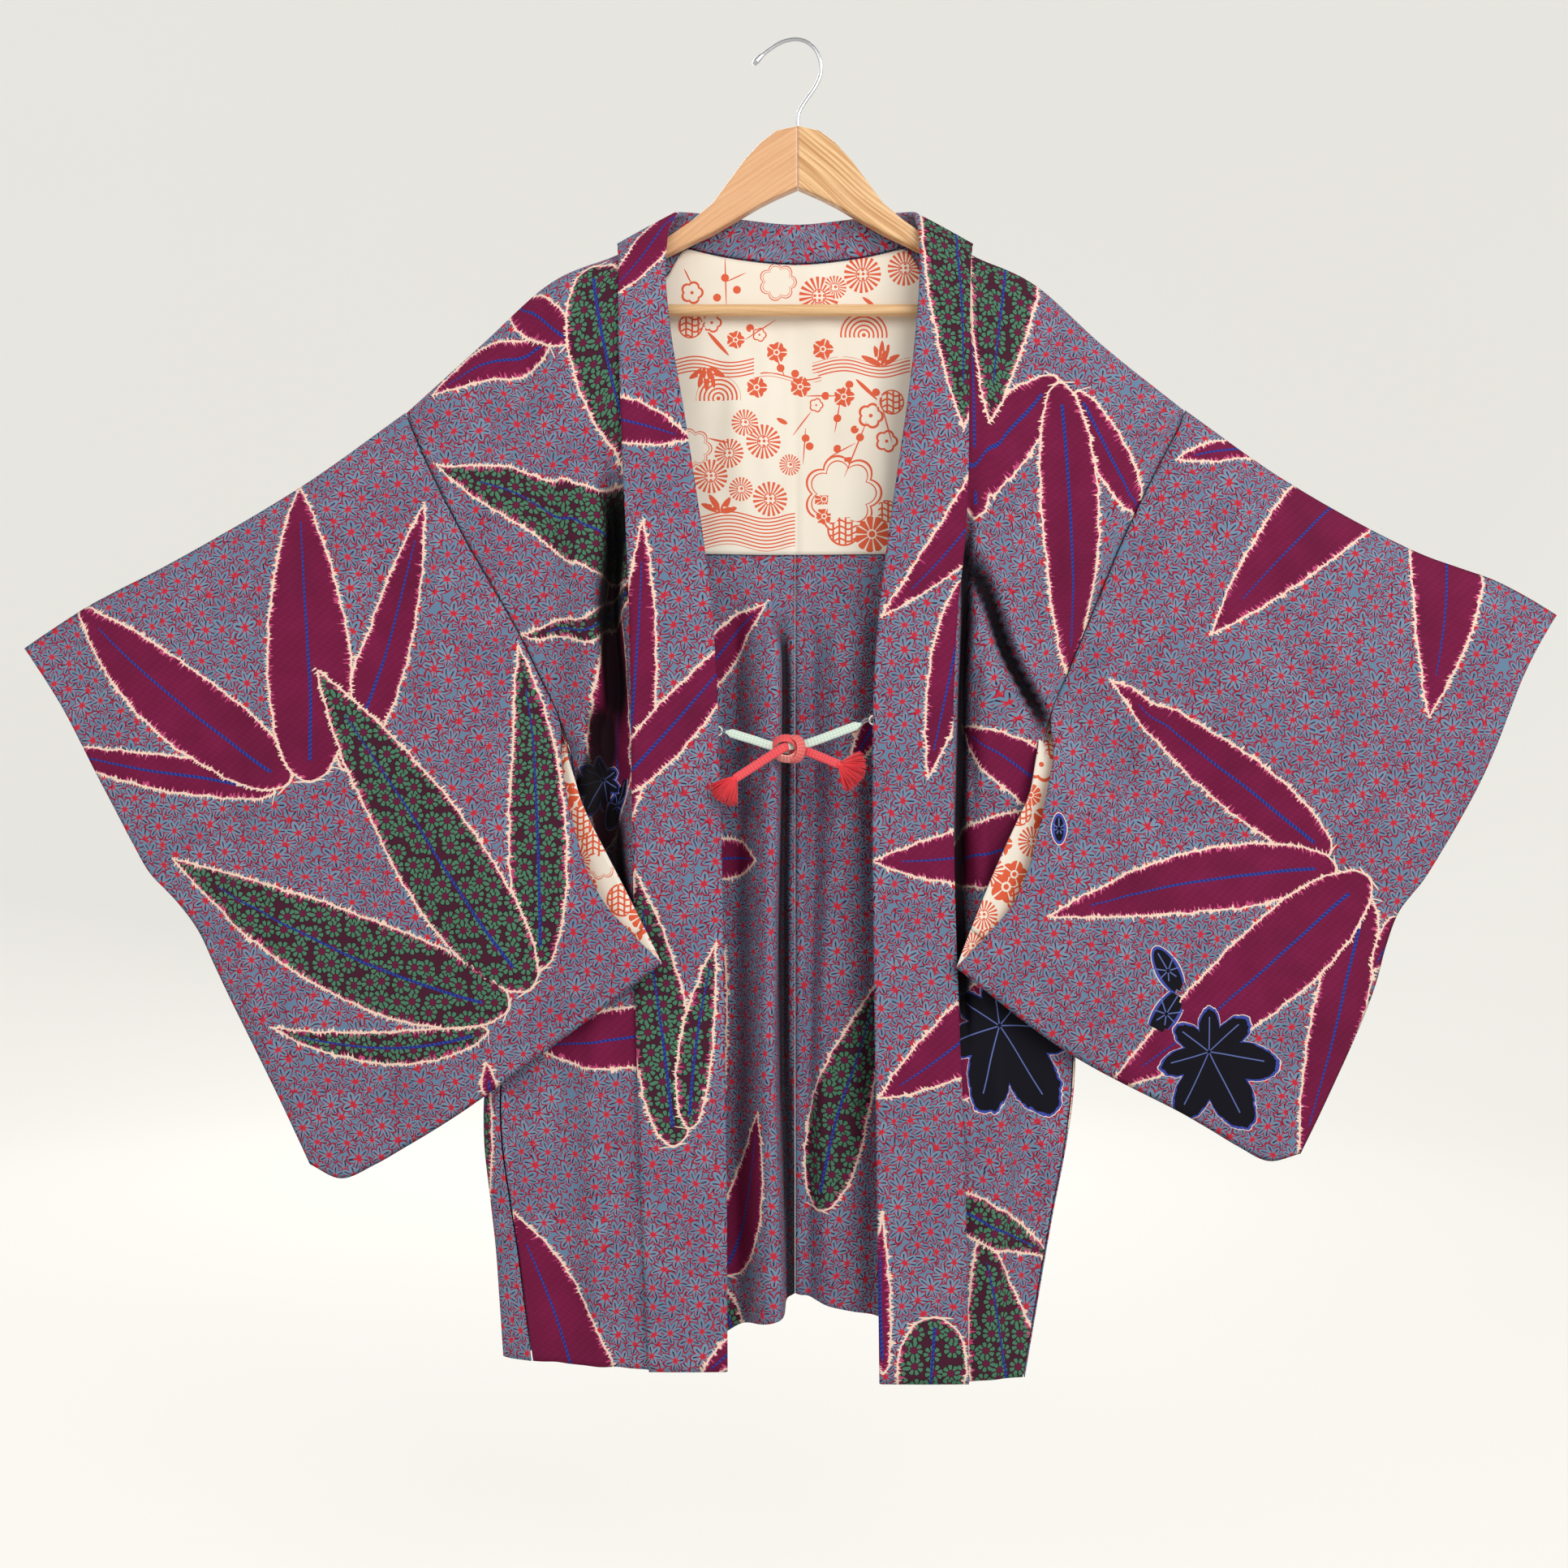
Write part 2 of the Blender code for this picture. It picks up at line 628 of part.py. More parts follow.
def collar_section(stations):
    """Across the band at each station: the seam, the under half, the fold, the outer
    half and the free edge. Also the direction across the band."""
    fold_line, edge, under = stations[:, :3], stations[:, 3:6], stations[:, 6:7]
    along = np.gradient(fold_line, axis=0)
    along /= np.linalg.norm(along, axis=1, keepdims=True)
    width = np.linalg.norm(edge - fold_line, axis=1, keepdims=True)
    across = (edge - fold_line) / width
    out = np.cross(along, across)
    out /= np.linalg.norm(out, axis=1, keepdims=True)
    gap = COLLAR_HALF_GAP
    section = [
        fold_line + across * under - out * gap,
        fold_line + across * under * 0.5 - out * gap,
        fold_line + across * COLLAR_TURN - out * gap,
        fold_line - across * COLLAR_ROLL,
        fold_line + across * COLLAR_TURN + out * gap,
        fold_line + across * width * 0.5 + out * gap * COLLAR_FULLNESS,
        edge + out * gap,
    ]
    return np.stack(section), across


def make_collar(stations, collection):
    section, _ = collar_section(stations)
    cloth("collar", section, COLLAR_WALL, COLOURS["cloth"], collection)


def collar_seam(stations):
    """Where the body meets the collar, just clear of the band's under half."""
    section, across = collar_section(stations)
    return section[0] + across * COLLAR_SEAM


# -------------------------------------------------------------------------------- body

def side_curves(side):
    """The front and back panels' edges from the hem up to the shoulder ridge."""
    lower = even(SIDE_SEAM[side], SIDE_ROWS, spread=2)
    upper = even(ARMHOLE[side], spread=2, shares=ARMHOLE_SHARES)
    front = np.concatenate([lower[:, [0, 2, 1]], upper[1:, [0, 2, 1]]])
    back = np.concatenate([lower[:, [3, 4, 1]], upper[1:, [0, 3, 1]]])
    return front, back


def inward(curve, side, amount):
    sign = 1 if side == "left" else -1
    moved = curve.copy()
    moved[:, 0] += sign * amount
    return moved


def body_patches(side, stations):
    """The front and back of one side's cloth. Rows run from the hem up, columns from
    the centre out to the side."""
    seam = collar_seam(stations)
    front_count = SIDE_ROWS + ARMHOLE_ROWS + 1
    if side == "left":
        front_seam = seam[:front_count]
        neck_seam = seam[front_count - 1:front_count + NECK_COLUMNS][::-1]
    else:
        front_seam = seam[-front_count:][::-1]
        neck_seam = seam[-front_count - NECK_COLUMNS:len(seam) - front_count + 1]
    side_front, side_back = side_curves(side)
    side_front = inward(side_front, side, SEAM)
    side_back = inward(side_back, side, SEAM)
    ridge_rows = [tuple(front_seam[-1])]
    ridge_rows += [(x, 0.0, z) for x, z in RIDGE[side]] + [tuple(side_front[-1])]
    ridge = even(ridge_rows, FRONT_COLUMNS)
    hem = even([front_seam[0], side_front[0]], FRONT_COLUMNS)
    front = patch(hem, ridge, front_seam, side_front, turn=RIDGE_TURN)

    sign = -1 if side == "left" else 1
    neck_seam = neck_seam.copy()
    neck_seam[0, 0] = sign * SEAM
    centre_rows = [(sign * SEAM, depth, height) for height, depth in CENTRE_BACK]
    centre_rows += [tuple(neck_seam[0])]
    centre = even(centre_rows, shares=travel(side_back) / travel(side_back)[-1])
    top = np.concatenate([neck_seam, ridge[1:]])
    columns = len(top) - 1
    middle = (centre[0] + side_back[0]) / 2 + np.array([0.0, 0.0, BACK_HEM_DIP[side]])
    back_hem = even([centre[0], middle, side_back[0]], columns)
    back = patch(back_hem, top, centre, side_back, turn=RIDGE_TURN)
    return (fold(front, FOLDS["front_" + side], keep=1.0),
            fold(back, FOLDS["back_" + side], keep=1.0))


def make_gusset(side, collection):
    """The wedge between the front and back panels, from the armhole end to the hem."""
    sign = -1 if side == "left" else 1
    front, back = side_curves(side)
    front = inward(front[:SIDE_ROWS + 1], side, -EDGE_TO_FACE)
    back = inward(back[:SIDE_ROWS + 1], side, -EDGE_TO_FACE)
    for edge in (front, back):
        edge[-1] = edge[-2] + (edge[-1] - edge[-2]) * GUSSET_TOP
    columns = []
    height = np.linspace(1.0, GUSSET_TOP_FULLNESS, SIDE_ROWS + 1)
    for share in np.linspace(0.0, 1.0, GUSSET_COLUMNS):
        column = front * (1 - share) + back * share
        column[:, 0] += sign * GUSSET_BULGE[side] * height * math.sin(math.pi * share)
        columns.append(column)
    points = np.stack(columns, axis=1)
    cloth("machi_" + side, points, WALL, COLOURS["cloth"], collection)


def make_body(side, patches, collection):
    """Front and back panels, parted along the shoulder ridge."""
    for layer, facing, first, points in (
            ("front", -1, 0, patches[0]), ("back", 1, NECK_COLUMNS, patches[1])):
        points = points.copy()
        below = points[-1:, :, 2] - points[:, :, 2]
        share = np.interp(np.arange(points.shape[1]) - first, *zip(*RIDGE_SHARE))
        points[..., 1] += facing * RIDGE_APART * share * np.exp(-below / RIDGE_FADE)
        cloth(f"body_{side}_{layer}", points, WALL, COLOURS["cloth"], collection)


def make_back_lining(bodies, collection):
    """The lining, made from the back panels' points and moved forward off them."""
    columns = []
    reach = NECK_COLUMNS + LINING_SIDE_COLUMNS
    left, right = bodies["left"][1], bodies["right"][1]
    for panel, order in ((left, range(reach, -1, -1)), (right, range(1, reach + 1))):
        for column in order:
            line = panel[:, column]
            heights = line[:, 2]
            top = heights[-1] - (
                LINING_BELOW_RIDGE if column > NECK_COLUMNS - 2 else LINING_BELOW_NECK)
            wanted = np.linspace(LINING_FOOT, top, LINING_ROWS)
            points = np.array([[np.interp(z, heights, line[:, axis]) for axis in range(3)]
                               for z in wanted])
            columns.append(points + LINING_SHIFT)
    cloth("lining_back", np.stack(columns, axis=1), LINING_WALL, COLOURS["lining"],
          collection)


# ------------------------------------------------------------------------------ sleeves

def sleeve_patches(side):
    """The front and back layers. Rows run from the bottom up, columns from the body
    out to the cuff."""
    front_edge, back_edge = side_curves(side)
    lower = np.array(SLEEVE_BOTTOM[side])[::-1][:, [0, 2, 1]]
    bottom = even(lower, SLEEVE_COLUMNS)
    shoulder = inward(front_edge[-1:], side, -SEAM)
    top_rows = [tuple(shoulder[0])] + [(x, 0.0, z) for x, z in SLEEVE_TOP[side]]
    top = even(top_rows, SLEEVE_COLUMNS)
    cuff = even(np.array(SLEEVE_CUFF[side])[::-1], FURI_ROWS + ARMHOLE_ROWS, spread=2)
    patches = {}
    for layer, edge, facing in (("front", front_edge, -1), ("back", back_edge, 1)):
        armhole = inward(edge[SIDE_ROWS:], side, -SEAM)
        rows = np.array(FURI[side][layer])[:, [0, 2, 1]][::-1]
        furi = even(rows, FURI_ROWS)
        furi[-1] = armhole[0]
        inner = np.concatenate([furi, armhole[1:]])
        outer = np.column_stack([cuff[:, 0], facing * cuff[:, 2], cuff[:, 1]])
        outer[cuff[:, 2] < CLOSED_CUFF, 1] = 0.0
        outer[:, 1] += bottom[-1][1] * np.linspace(1.0, 0.0, len(outer))
        outer[0], outer[-1] = bottom[-1], top[-1]
        surface = patch(bottom, top, inner, outer)
        across = np.sin(np.pi * np.linspace(0, 1, surface.shape[1]) ** BULGE_SKEW)
        up = np.sin(np.pi * np.linspace(0, 1, surface.shape[0]))
        surface[..., 1] += BULGE[layer] * np.outer(up, across) ** BULGE_FLATNESS
        patches[layer] = fold(surface, FOLDS[f"sleeve_{side}_{layer}"])
    return patches


def make_sleeve(side, collection):
    patches = sleeve_patches(side)
    patches["front"][..., 1] -= LAYER_APART
    for layer, points in patches.items():
        cloth(f"sleeve_{side}_{layer}", points, WALL, COLOURS["cloth"], collection)
    strip = patches["back"][1:FURI_ROWS, :SLEEVE_LINING_COLUMNS + 1] + LINING_SHIFT
    cloth("sleeve_lining_" + side, strip, LINING_WALL, COLOURS["lining"], collection)


# ---------------------------------------------------------------------------- tied cord

def make_flat_braid(name, start, end, sag, colour, collection):
    start, end = np.array(start), np.array(end)
    points = []
    for share in np.linspace(0.0, 1.0, BRAID_POINTS):
        point = start * (1 - share) + end * share
        point[2] -= sag * math.sin(math.pi * share)
        points.append(point)
    round_edge = BRAID_THICKNESS / 2
    poly_curve(name, points, colour, collection, radius=round_edge,
               half_width=BRAID_WIDTH / 2 - round_edge, resolution=1)


def knot_exit(toward):
    """A point just outside the knot in the direction of a point in the X-Z plane."""
    across, up = toward[0] - KNOT["x"], toward[1] - KNOT["z"]
    reach = math.hypot(across, up)
    across, up = across / reach, up / reach
    out = 1 / math.hypot(across / KNOT["half_width"], up / KNOT["half_height"]) + KNOT_GAP
    return np.array([KNOT["x"] + across * out, KNOT["y"], KNOT["z"] + up * out])


def make_knot(collection):
    mesh = bmesh.new()
    bmesh.ops.create_uvsphere(mesh, u_segments=14, v_segments=8, radius=1.0)
    size = (KNOT["half_width"] * MM, KNOT["half_depth"] * MM, KNOT["half_height"] * MM)
    bmesh.ops.scale(mesh, vec=size, verts=mesh.verts)
    data = bpy.data.meshes.new("himo_knot")
    mesh.to_mesh(data)
    mesh.free()
    data.shade_smooth()
    made = add_object("himo_knot", data, COLOURS["cord_coral"], collection)
    made.location = (KNOT["x"] * MM, KNOT["y"] * MM, KNOT["z"] * MM)


def make_tassel(side, root, direction, collection, cutters):
    """A bound head with loose strands that fan out of its mouth."""
    head = TASSEL_HEAD
    mesh = bmesh.new()
    bmesh.ops.create_cone(mesh, cap_ends=True, segments=10, radius1=head["neck"] * MM,
                          radius2=head["mouth"] * MM, depth=head["length"] * MM)
    bmesh.ops.translate(mesh, verts=mesh.verts, vec=(0, 0, head["length"] / 2 * MM))
    data = bpy.data.meshes.new("tassel_" + side)
    mesh.to_mesh(data)
    mesh.free()
    made = add_object("tassel_" + side, data, COLOURS["tassel_red"], collection)
    roots = [(ring, 2 * math.pi * (index + ring) / count)
             for ring, count in STRAND_RINGS for index in range(count)]
    strands = bpy.data.collections.new("tassel_strands_" + side)
    cutters.children.link(strands)
    for index, (ring, angle) in enumerate(roots):
        x, y = ring * math.cos(angle), ring * math.sin(angle)
        strand = bmesh.new()
        length = STRAND["length"] * (1 - 0.05 * (index % 3))
        bmesh.ops.create_cone(strand, cap_ends=True, segments=4,
                              radius1=STRAND["radius"] * MM,
                              radius2=STRAND["radius"] * STRAND["tip"] * MM,
                              depth=length * MM)
        for vertex in strand.verts:
            height = vertex.co.z + length / 2 * MM
            vertex.co.x += x * (MM + STRAND["fan"] * height)
            vertex.co.y += y * (MM + STRAND["fan_depth"] * height)
            vertex.co.z = height + (head["length"] - STRAND["sink"]) * MM
        shape = bpy.data.meshes.new("strand")
        strand.to_mesh(shape)
        strand.free()
        piece = bpy.data.objects.new(f"strand_{side}_{index}", shape)
        piece.hide_render = True
        piece.display_type = "WIRE"
        strands.objects.link(piece)
        piece.parent = made
    union = made.modifiers.new("strands", "BOOLEAN")
    union.operation = "UNION"
    union.operand_type = "COLLECTION"
    union.collection = strands
    union.solver = "EXACT"
    turn = math.atan2(direction[0], direction[1])
    made.rotation_euler = (0.0, turn, 0.0)
    made.scale = (1.0, TASSEL_FLATNESS, 1.0)
    made.location = [value * MM for value in root]


def make_tied_cord(stations, collection, cutters):
    section, across = collar_section(stations)
    make_knot(collection)
    front_count = SIDE_ROWS + ARMHOLE_ROWS + 1
    for side, (height, foot, way) in CORD_ENDS.items():
        sign = -1 if side == "left" else 1
        tips = section[3][:front_count] if side == "left" else section[3][-front_count:]
        order = np.argsort(tips[:, 2])
        tip_x = np.interp(height, tips[order, 2], tips[order, 0])
        tip_y = np.interp(height, tips[order, 2], tips[order, 1])
        clear = COLLAR_WALL / 2 + SEAM + LOOP_WIRE + LOOP_RING + LOOP_CLEARANCE
        centre = np.array([tip_x - sign * clear, tip_y, height])
        ring = [centre + LOOP_RING * np.array([math.cos(angle), 0.0, math.sin(angle)])
                for angle in np.linspace(0, 2 * math.pi, LOOP_POINTS + 1)[:-1]]
        poly_curve("chi_" + side, ring, COLOURS["loop"], collection, radius=LOOP_WIRE,
                   resolution=1, cyclic=True)
        start = centre - np.array([sign * (LOOP_RING + LOOP_WIRE + BRAID_GAP), 0.0, 1.0])
        reach = knot_exit((start[0], start[2]))
        make_flat_braid("himo_" + side, start, reach, BRAID_SAG, COLOURS["cord_white"],
                        collection)
        leave = knot_exit(foot)
        end = np.array([foot[0], TASSEL_DEPTH, foot[1]])
        make_flat_braid("himo_tail_" + side, leave, end, TAIL_SAG, COLOURS["cord_coral"],
                        collection)
        heading = (end - leave) / np.linalg.norm(end - leave)
        make_tassel(side, end + heading * TASSEL_GAP, way, collection, cutters)


# --------------------------------------------------------------------------------- all

def main():
    clear_scene()
    parts = new_collection("haori_jacket")
    cutters = new_collection("cutters")
    cutters.hide_render = True
    stations = collar_stations()
    make_arm("left", parts)
    make_arm("right", parts)
    make_bar(parts)
    make_hook(parts)
    make_collar(stations, parts)
    bodies = {side: body_patches(side, stations) for side in ("left", "right")}
    for side, patches in bodies.items():
        make_body(side, patches, parts)
        make_gusset(side, parts)
        make_sleeve(side, parts)
    make_back_lining(bodies, parts)
    make_tied_cord(stations, parts, cutters)


main()
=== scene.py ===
"""A woman's haori jacket on a small wooden hanger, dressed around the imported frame.
Lengths are in millimetres and become metres where a mesh is made."""
import math

import bpy
import numpy as np
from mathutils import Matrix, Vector

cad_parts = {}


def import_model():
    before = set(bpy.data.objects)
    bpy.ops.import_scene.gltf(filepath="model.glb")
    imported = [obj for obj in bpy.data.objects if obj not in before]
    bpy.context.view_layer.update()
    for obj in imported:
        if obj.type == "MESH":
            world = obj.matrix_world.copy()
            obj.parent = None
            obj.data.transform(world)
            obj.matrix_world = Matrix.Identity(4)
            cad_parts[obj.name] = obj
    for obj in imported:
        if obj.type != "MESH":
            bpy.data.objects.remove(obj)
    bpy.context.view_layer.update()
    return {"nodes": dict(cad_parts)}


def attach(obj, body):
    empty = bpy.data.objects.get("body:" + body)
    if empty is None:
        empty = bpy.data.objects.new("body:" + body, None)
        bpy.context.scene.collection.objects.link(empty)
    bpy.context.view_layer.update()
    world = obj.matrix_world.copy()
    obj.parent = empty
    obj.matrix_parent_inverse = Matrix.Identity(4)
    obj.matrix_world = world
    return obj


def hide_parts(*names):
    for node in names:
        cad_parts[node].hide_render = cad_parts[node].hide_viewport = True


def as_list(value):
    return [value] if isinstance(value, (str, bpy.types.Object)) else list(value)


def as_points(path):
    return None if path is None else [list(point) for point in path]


MM = 0.001

# Camera: level, straight in front, a little left of the hanger's hook.
CAMERA = dict(x=-8.4, y=-1300.0, z=-557.6, half_frame=966 * 0.6 / 1280)

# The cloth as it shows: thinner than its solid, on the same middle surface.
SHOWN_WALL = 0.9
SHOWN_LINING = 0.5
FINE_ROWS = 8             # parts that each row of the solid's grid is divided into
FINE_BODY_COLUMNS = 4
FINE_SLEEVE_COLUMNS = 8
FINE_COLLAR_COLUMNS = 6
FINE_GUSSET_COLUMNS = 6
# Cloth
WALL = 1.5                # body, sleeve and gusset cloth with its lining
SEAM = 0.3                # from a seam's line to the edge on each side, or edge to face
COLLAR_SEAM = 1.0         # the collar's seam turns with the shoulder, so it is wider
EDGE_TO_FACE = WALL / 2 + SEAM   # where a piece's edge meets the face of another
ARMHOLE_LEVEL = 0.6       # how far up the collar's front the armhole's end lies
COLLAR_HALF_GAP = 1.7     # from the collar's middle to the middle of each of its layers
COLLAR_TURN = 1.3         # where its layers start to turn into the fold
COLLAR_ROLL = 0.6         # how far the fold itself stands out
COLLAR_FULLNESS = 1.25    # the outer layer stands this much further off halfway

# How finely the cloth is divided
SIDE_ROWS = 12            # hem to armhole end
# Shares of the way from the armhole end to the shoulder ridge, closer where the cloth
# turns over the hanger.
ARMHOLE_SHARES = (0.0, 0.14, 0.28, 0.42, 0.56, 0.70, 0.83, 0.93, 0.975, 1.0)
ARMHOLE_ROWS = len(ARMHOLE_SHARES) - 1
RIDGE_TURN = 8.0          # the ridge's own depth dies away over this length below it
FRONT_COLUMNS = 13
NECK_COLUMNS = 8          # centre back to the ridge of the shoulder
SLEEVE_COLUMNS = 12
FURI_ROWS = 7
GUSSET_COLUMNS = 5
LINING_ROWS = 8
CURVE_SAMPLES = 40        # taken between two rows of a table to measure its curve


# The collar band, from a front hem up to the shoulder. fold is its inner edge, edge its
# free outer edge, drop how much lower that edge lies, depth the y of both, under the
# width of the half that is sewn to the body.
COLLAR_FRONT = {
    # height, fold, edge, drop, depth, under
    "left": [(-991, -51, -108, 0, -22, 53), (-818, -52, -115, 0, -25, 59),
             (-578, -56, -120, 0, -27, 60), (-434, -62, -122, 0, -27, 56),
             (-302, -80, -128, 0, -24, 44), (-198, -96, -131, 8, -19, 31),
             (-152, -96, -131, 19, -14, 32)],
    "right": [(-1000, 63, 128, 0, -22, 61), (-853, 61, 125, 0, -25, 60),
              (-631, 58, 117, 0, -27, 55), (-506, 58, 116, 0, -27, 54), (-434, 62, 119, 0, -27, 53),
              (-362, 71, 126, 0, -26, 51), (-265, 85, 128, 0, -23, 39), (-198, 92, 129, 8, -19, 31),
              (-152, 93, 130, 19, -14, 32)],
}

# The collar over one shoulder and half the back neck, mirrored for the other half.
COLLAR_NECK = [
    # fold_x, fold_y, fold_z, edge_x, edge_y, edge_z, under
    (89, 0, -130, 131, -1, -155.5, 27), (85.5, 6, -127.5, 124, 12.5, -164, 26),
    (76, 10, -126.5, 101, 15.5, -175, 26), (42, 11.5, -131, 52, 16, -184, 28),
    (0, 11.5, -135, 0, 16, -189, 28)]

# The shoulder ridge from the collar out to the armhole.
RIDGE = {
    "left": [(-131, -160), (-154, -168), (-183, -181.5), (-236, -229)],
    "right": [(131, -160.5), (154, -170), (180, -183.5), (232, -230)],
}

# The body's side, from the hem up. front and back are the depths of the two panels'
# edges there, and back_x is the back panel's edge.
SIDE_SEAM = {
    # x, height, front, back_x, back
    "left": [(-195, -986, -14, -192, 12), (-206, -905, -12, -200, 12), (-220, -795, -7, -215, 11),
             (-200, -668, -3, -198, 10), (-178, -600, -4, -178, 8), (-167, -556, -5, -168, 7),
             (-166, -532, -5, -166, 6.5), (-176, -510, -6, -176, 6)],
    "right": [(169, -998, -14, 148, 10), (186, -900, -12, 170, 11), (206, -785, -7, 198, 11),
              (204, -668, -3, 202, 10), (190, -600, -4, 190, 8), (182, -554, -5, 182, 7),
              (181, -528, -5, 181, 6.5), (191, -506, -6, 191, 6)],
}
GUSSET_BULGE = {"left": 24.0, "right": 8.0}
GUSSET_TOP = 0.75         # the wedge starts just below the armhole end
GUSSET_TOP_FULLNESS = 0.06

# The armhole, from its lower end up to the shoulder ridge.
ARMHOLE = {
    # x, height, front, back
    "left": [(-176, -510, -6, 6), (-207, -443, -12, 8), (-241, -384, -13, 9),
             (-271, -326, -11, 9.5), (-285, -295, -8, 8), (-292, -279.5, 0, 0)],
    "right": [(191, -506, -6, 6), (222, -428, -12, 8), (248, -366, -13, 9), (272, -318, -11, 9.5),
              (286, -292, -8, 8), (292, -277.5, 0, 0)],
}

# The centre back seam and the back hem.
CENTRE_BACK = [
    # height, depth
    (-945, 15), (-700, 15), (-450, 13)]
BACK_HEM_DIP = {"left": -24.0, "right": 6.0}

# Each sleeve's edges. depth is that of the folded top and of the closed edges.
SLEEVE_TOP = {
    "left": [(-369, -334), (-466, -391), (-531, -425), (-578, -456)],
    "right": [(367, -330), (464, -383), (530, -407.5), (571, -431)],
}
SLEEVE_CUFF = {
    # x, height, half the opening
    "left": [(-578, -456, 0), (-549, -496, 7), (-512, -566, 8), (-477, -632, 2), (-455, -654, 0),
             (-426, -712, 0), (-386, -793, 0), (-363, -842, 0)],
    "right": [(571, -431, 0), (547, -468, 7), (512, -552, 8), (470, -629, 2), (450, -657, 0),
              (431, -718, 0), (398, -793, 0), (378, -834, 0)],
}
SLEEVE_BOTTOM = {
    # x, height, depth
    "left": [(-363, -842, -3), (-346, -853, -3), (-274, -818, -8), (-181, -752, -25),
             (-97, -688, -41)],
    "right": [(378, -834, -3), (362, -841, -3), (287, -802, -8), (199, -754, -24),
              (117, -691, -39)],
}
# The sleeve's free inner edge below the armhole, front and back layers.
FURI = {
    # x, height, depth
    "left": {
        "front": [(-176, -510, -6), (-174, -532, -15), (-166, -574, -28), (-143, -638, -40),
                  (-97, -688, -41)],
        "back": [(-176, -510, 6), (-182, -526, -2.5), (-171, -547, -14), (-152, -584, -22),
                 (-124, -636, -32), (-97, -688, -41)]},
    "right": {
        "front": [(191, -506, -6), (192, -528, -15), (184, -566, -28), (161, -640, -38),
                  (117, -691, -39)],
        "back": [(191, -506, 6), (197, -521, -2.5), (187, -543, -14), (167, -578, -22),
                 (142, -630, -31), (117, -691, -39)]},
}

# Folds: soft troughs (depth above zero goes back) and ridges along a line from top to
# foot, fading at both ends.
FOLDS = {
    # top_x, top_z, foot_x, foot_z, half_width, depth
    "front_left": [
        (-138, -290, -134, -700, 11, 20), (-160, -320, -155, -720, 12, -7),
        (-144, -740, -142, -1010, 12, -5), (-176, -700, -168, -1010, 12, 4),
        (-230, -330, -200, -450, 16, -4)],
    "front_right": [
        (132, -290, 125, -760, 7, 15), (142, -370, 176, -530, 11, 8),
        (152, -700, 142, -1010, 13, -6), (178, -740, 160, -1010, 11, 4),
        (226, -330, 206, -450, 16, -4)],
    "back_left": [
        (-30, -400, -22, -1040, 15, -27), (-92, -420, -84, -1010, 18, -6),
        (-41, -200, -44, -420, 14, -4), (-150, -460, -140, -1010, 16, -7),
        (-215, -300, -190, -560, 18, -5)],
    "back_right": [
        (42, -400, 38, -1010, 13, -7), (50, -200, 62, -400, 16, -3), (100, -480, 84, -1010, 17, -8),
        (150, -460, 128, -1010, 14, -7), (215, -300, 196, -560, 18, -5)],
    "sleeve_left_front": [
        (-300, -380, -330, -700, 26, 5), (-400, -480, -380, -720, 22, -5),
        (-210, -560, -250, -760, 20, -4)],
    "sleeve_left_back": [
        (-320, -400, -340, -760, 26, 5), (-450, -470, -400, -720, 24, -4)],
    "sleeve_right_front": [
        (262, -420, 236, -660, 16, 5), (330, -390, 320, -720, 22, -5),
        (430, -460, 400, -740, 24, 4)],
    "sleeve_right_back": [
        (320, -400, 330, -760, 26, 5), (450, -470, 400, -720, 24, -4)],
}
FOLD_FADE = 90.0          # a fold's depth builds up over this length at each end
SEAM_FADE = 7             # and, next to a seam, over a seventh of the cloth
BULGE = {"front": -8.0, "back": 5.0}   # the sleeve's fullness between its edges
BULGE_SKEW = 0.8          # below 1 it is fullest nearer the body
BULGE_FLATNESS = 0.6      # below 1 it is flatter over the middle
CLOSED_CUFF = 1.0         # a cuff this narrow is sewn shut

LINING_FOOT = -384.0      # straight lower edge of the back lining
LINING_SIDE_COLUMNS = 2   # how far the lining runs out past the neck
LINING_BELOW_RIDGE = 30.0 # there it starts this far below the shoulder ridge
LINING_BELOW_NECK = 1.2
LINING_OFF = 2.3          # from the middle of the cloth to the middle of the lining
LINING_SHIFT = np.array([0.0, -LINING_OFF, 0.0])
SLEEVE_LINING_COLUMNS = 3


# ---------------------------------------------------------------- curves and surfaces

def through(rows, position):
    """The smooth curve through the rows, at a position counted in rows."""
    rows = np.asarray(rows, float)
    last = len(rows) - 1
    index = min(max(int(math.floor(position)), 0), last - 1)
    share = position - index
    here, there = rows[index], rows[index + 1]
    before = rows[index - 1] if index > 0 else 2 * here - there
    after = rows[index + 2] if index + 2 <= last else 2 * there - here
    chords = [max(np.linalg.norm(b - a), 1e-6) ** 0.5 for a, b in
              ((before, here), (here, there), (there, after))]
    leave = (here - before) / chords[0] - (there - before) / (chords[0] + chords[1])
    leave = (leave + (there - here) / chords[1]) * chords[1]
    arrive = (there - here) / chords[1] - (after - here) / (chords[1] + chords[2])
    arrive = (arrive + (after - there) / chords[2]) * chords[1]
    s2, s3 = share * share, share ** 3
    return ((2 * s3 - 3 * s2 + 1) * here + (s3 - 2 * s2 + share) * leave
            + (3 * s2 - 2 * s3) * there + (s3 - s2) * arrive)


def even(rows, count=None, first=0, last=None, spread=3, shares=None):
    """count + 1 points evenly along the curve through rows, from row first to row last,
    or a point at each of the shares. Only the first `spread` columns count as length."""
    last = len(rows) - 1 if last is None else last
    steps = np.linspace(first, last, CURVE_SAMPLES * (last - first) + 1)
    dense = np.array([through(rows, step) for step in steps])
    lengths = travel(dense[:, :spread])
    shares = np.linspace(0.0, 1.0, count + 1) if shares is None else np.array(shares)
    return np.array([[np.interp(share * lengths[-1], lengths, column)
                      for column in dense.T] for share in shares])


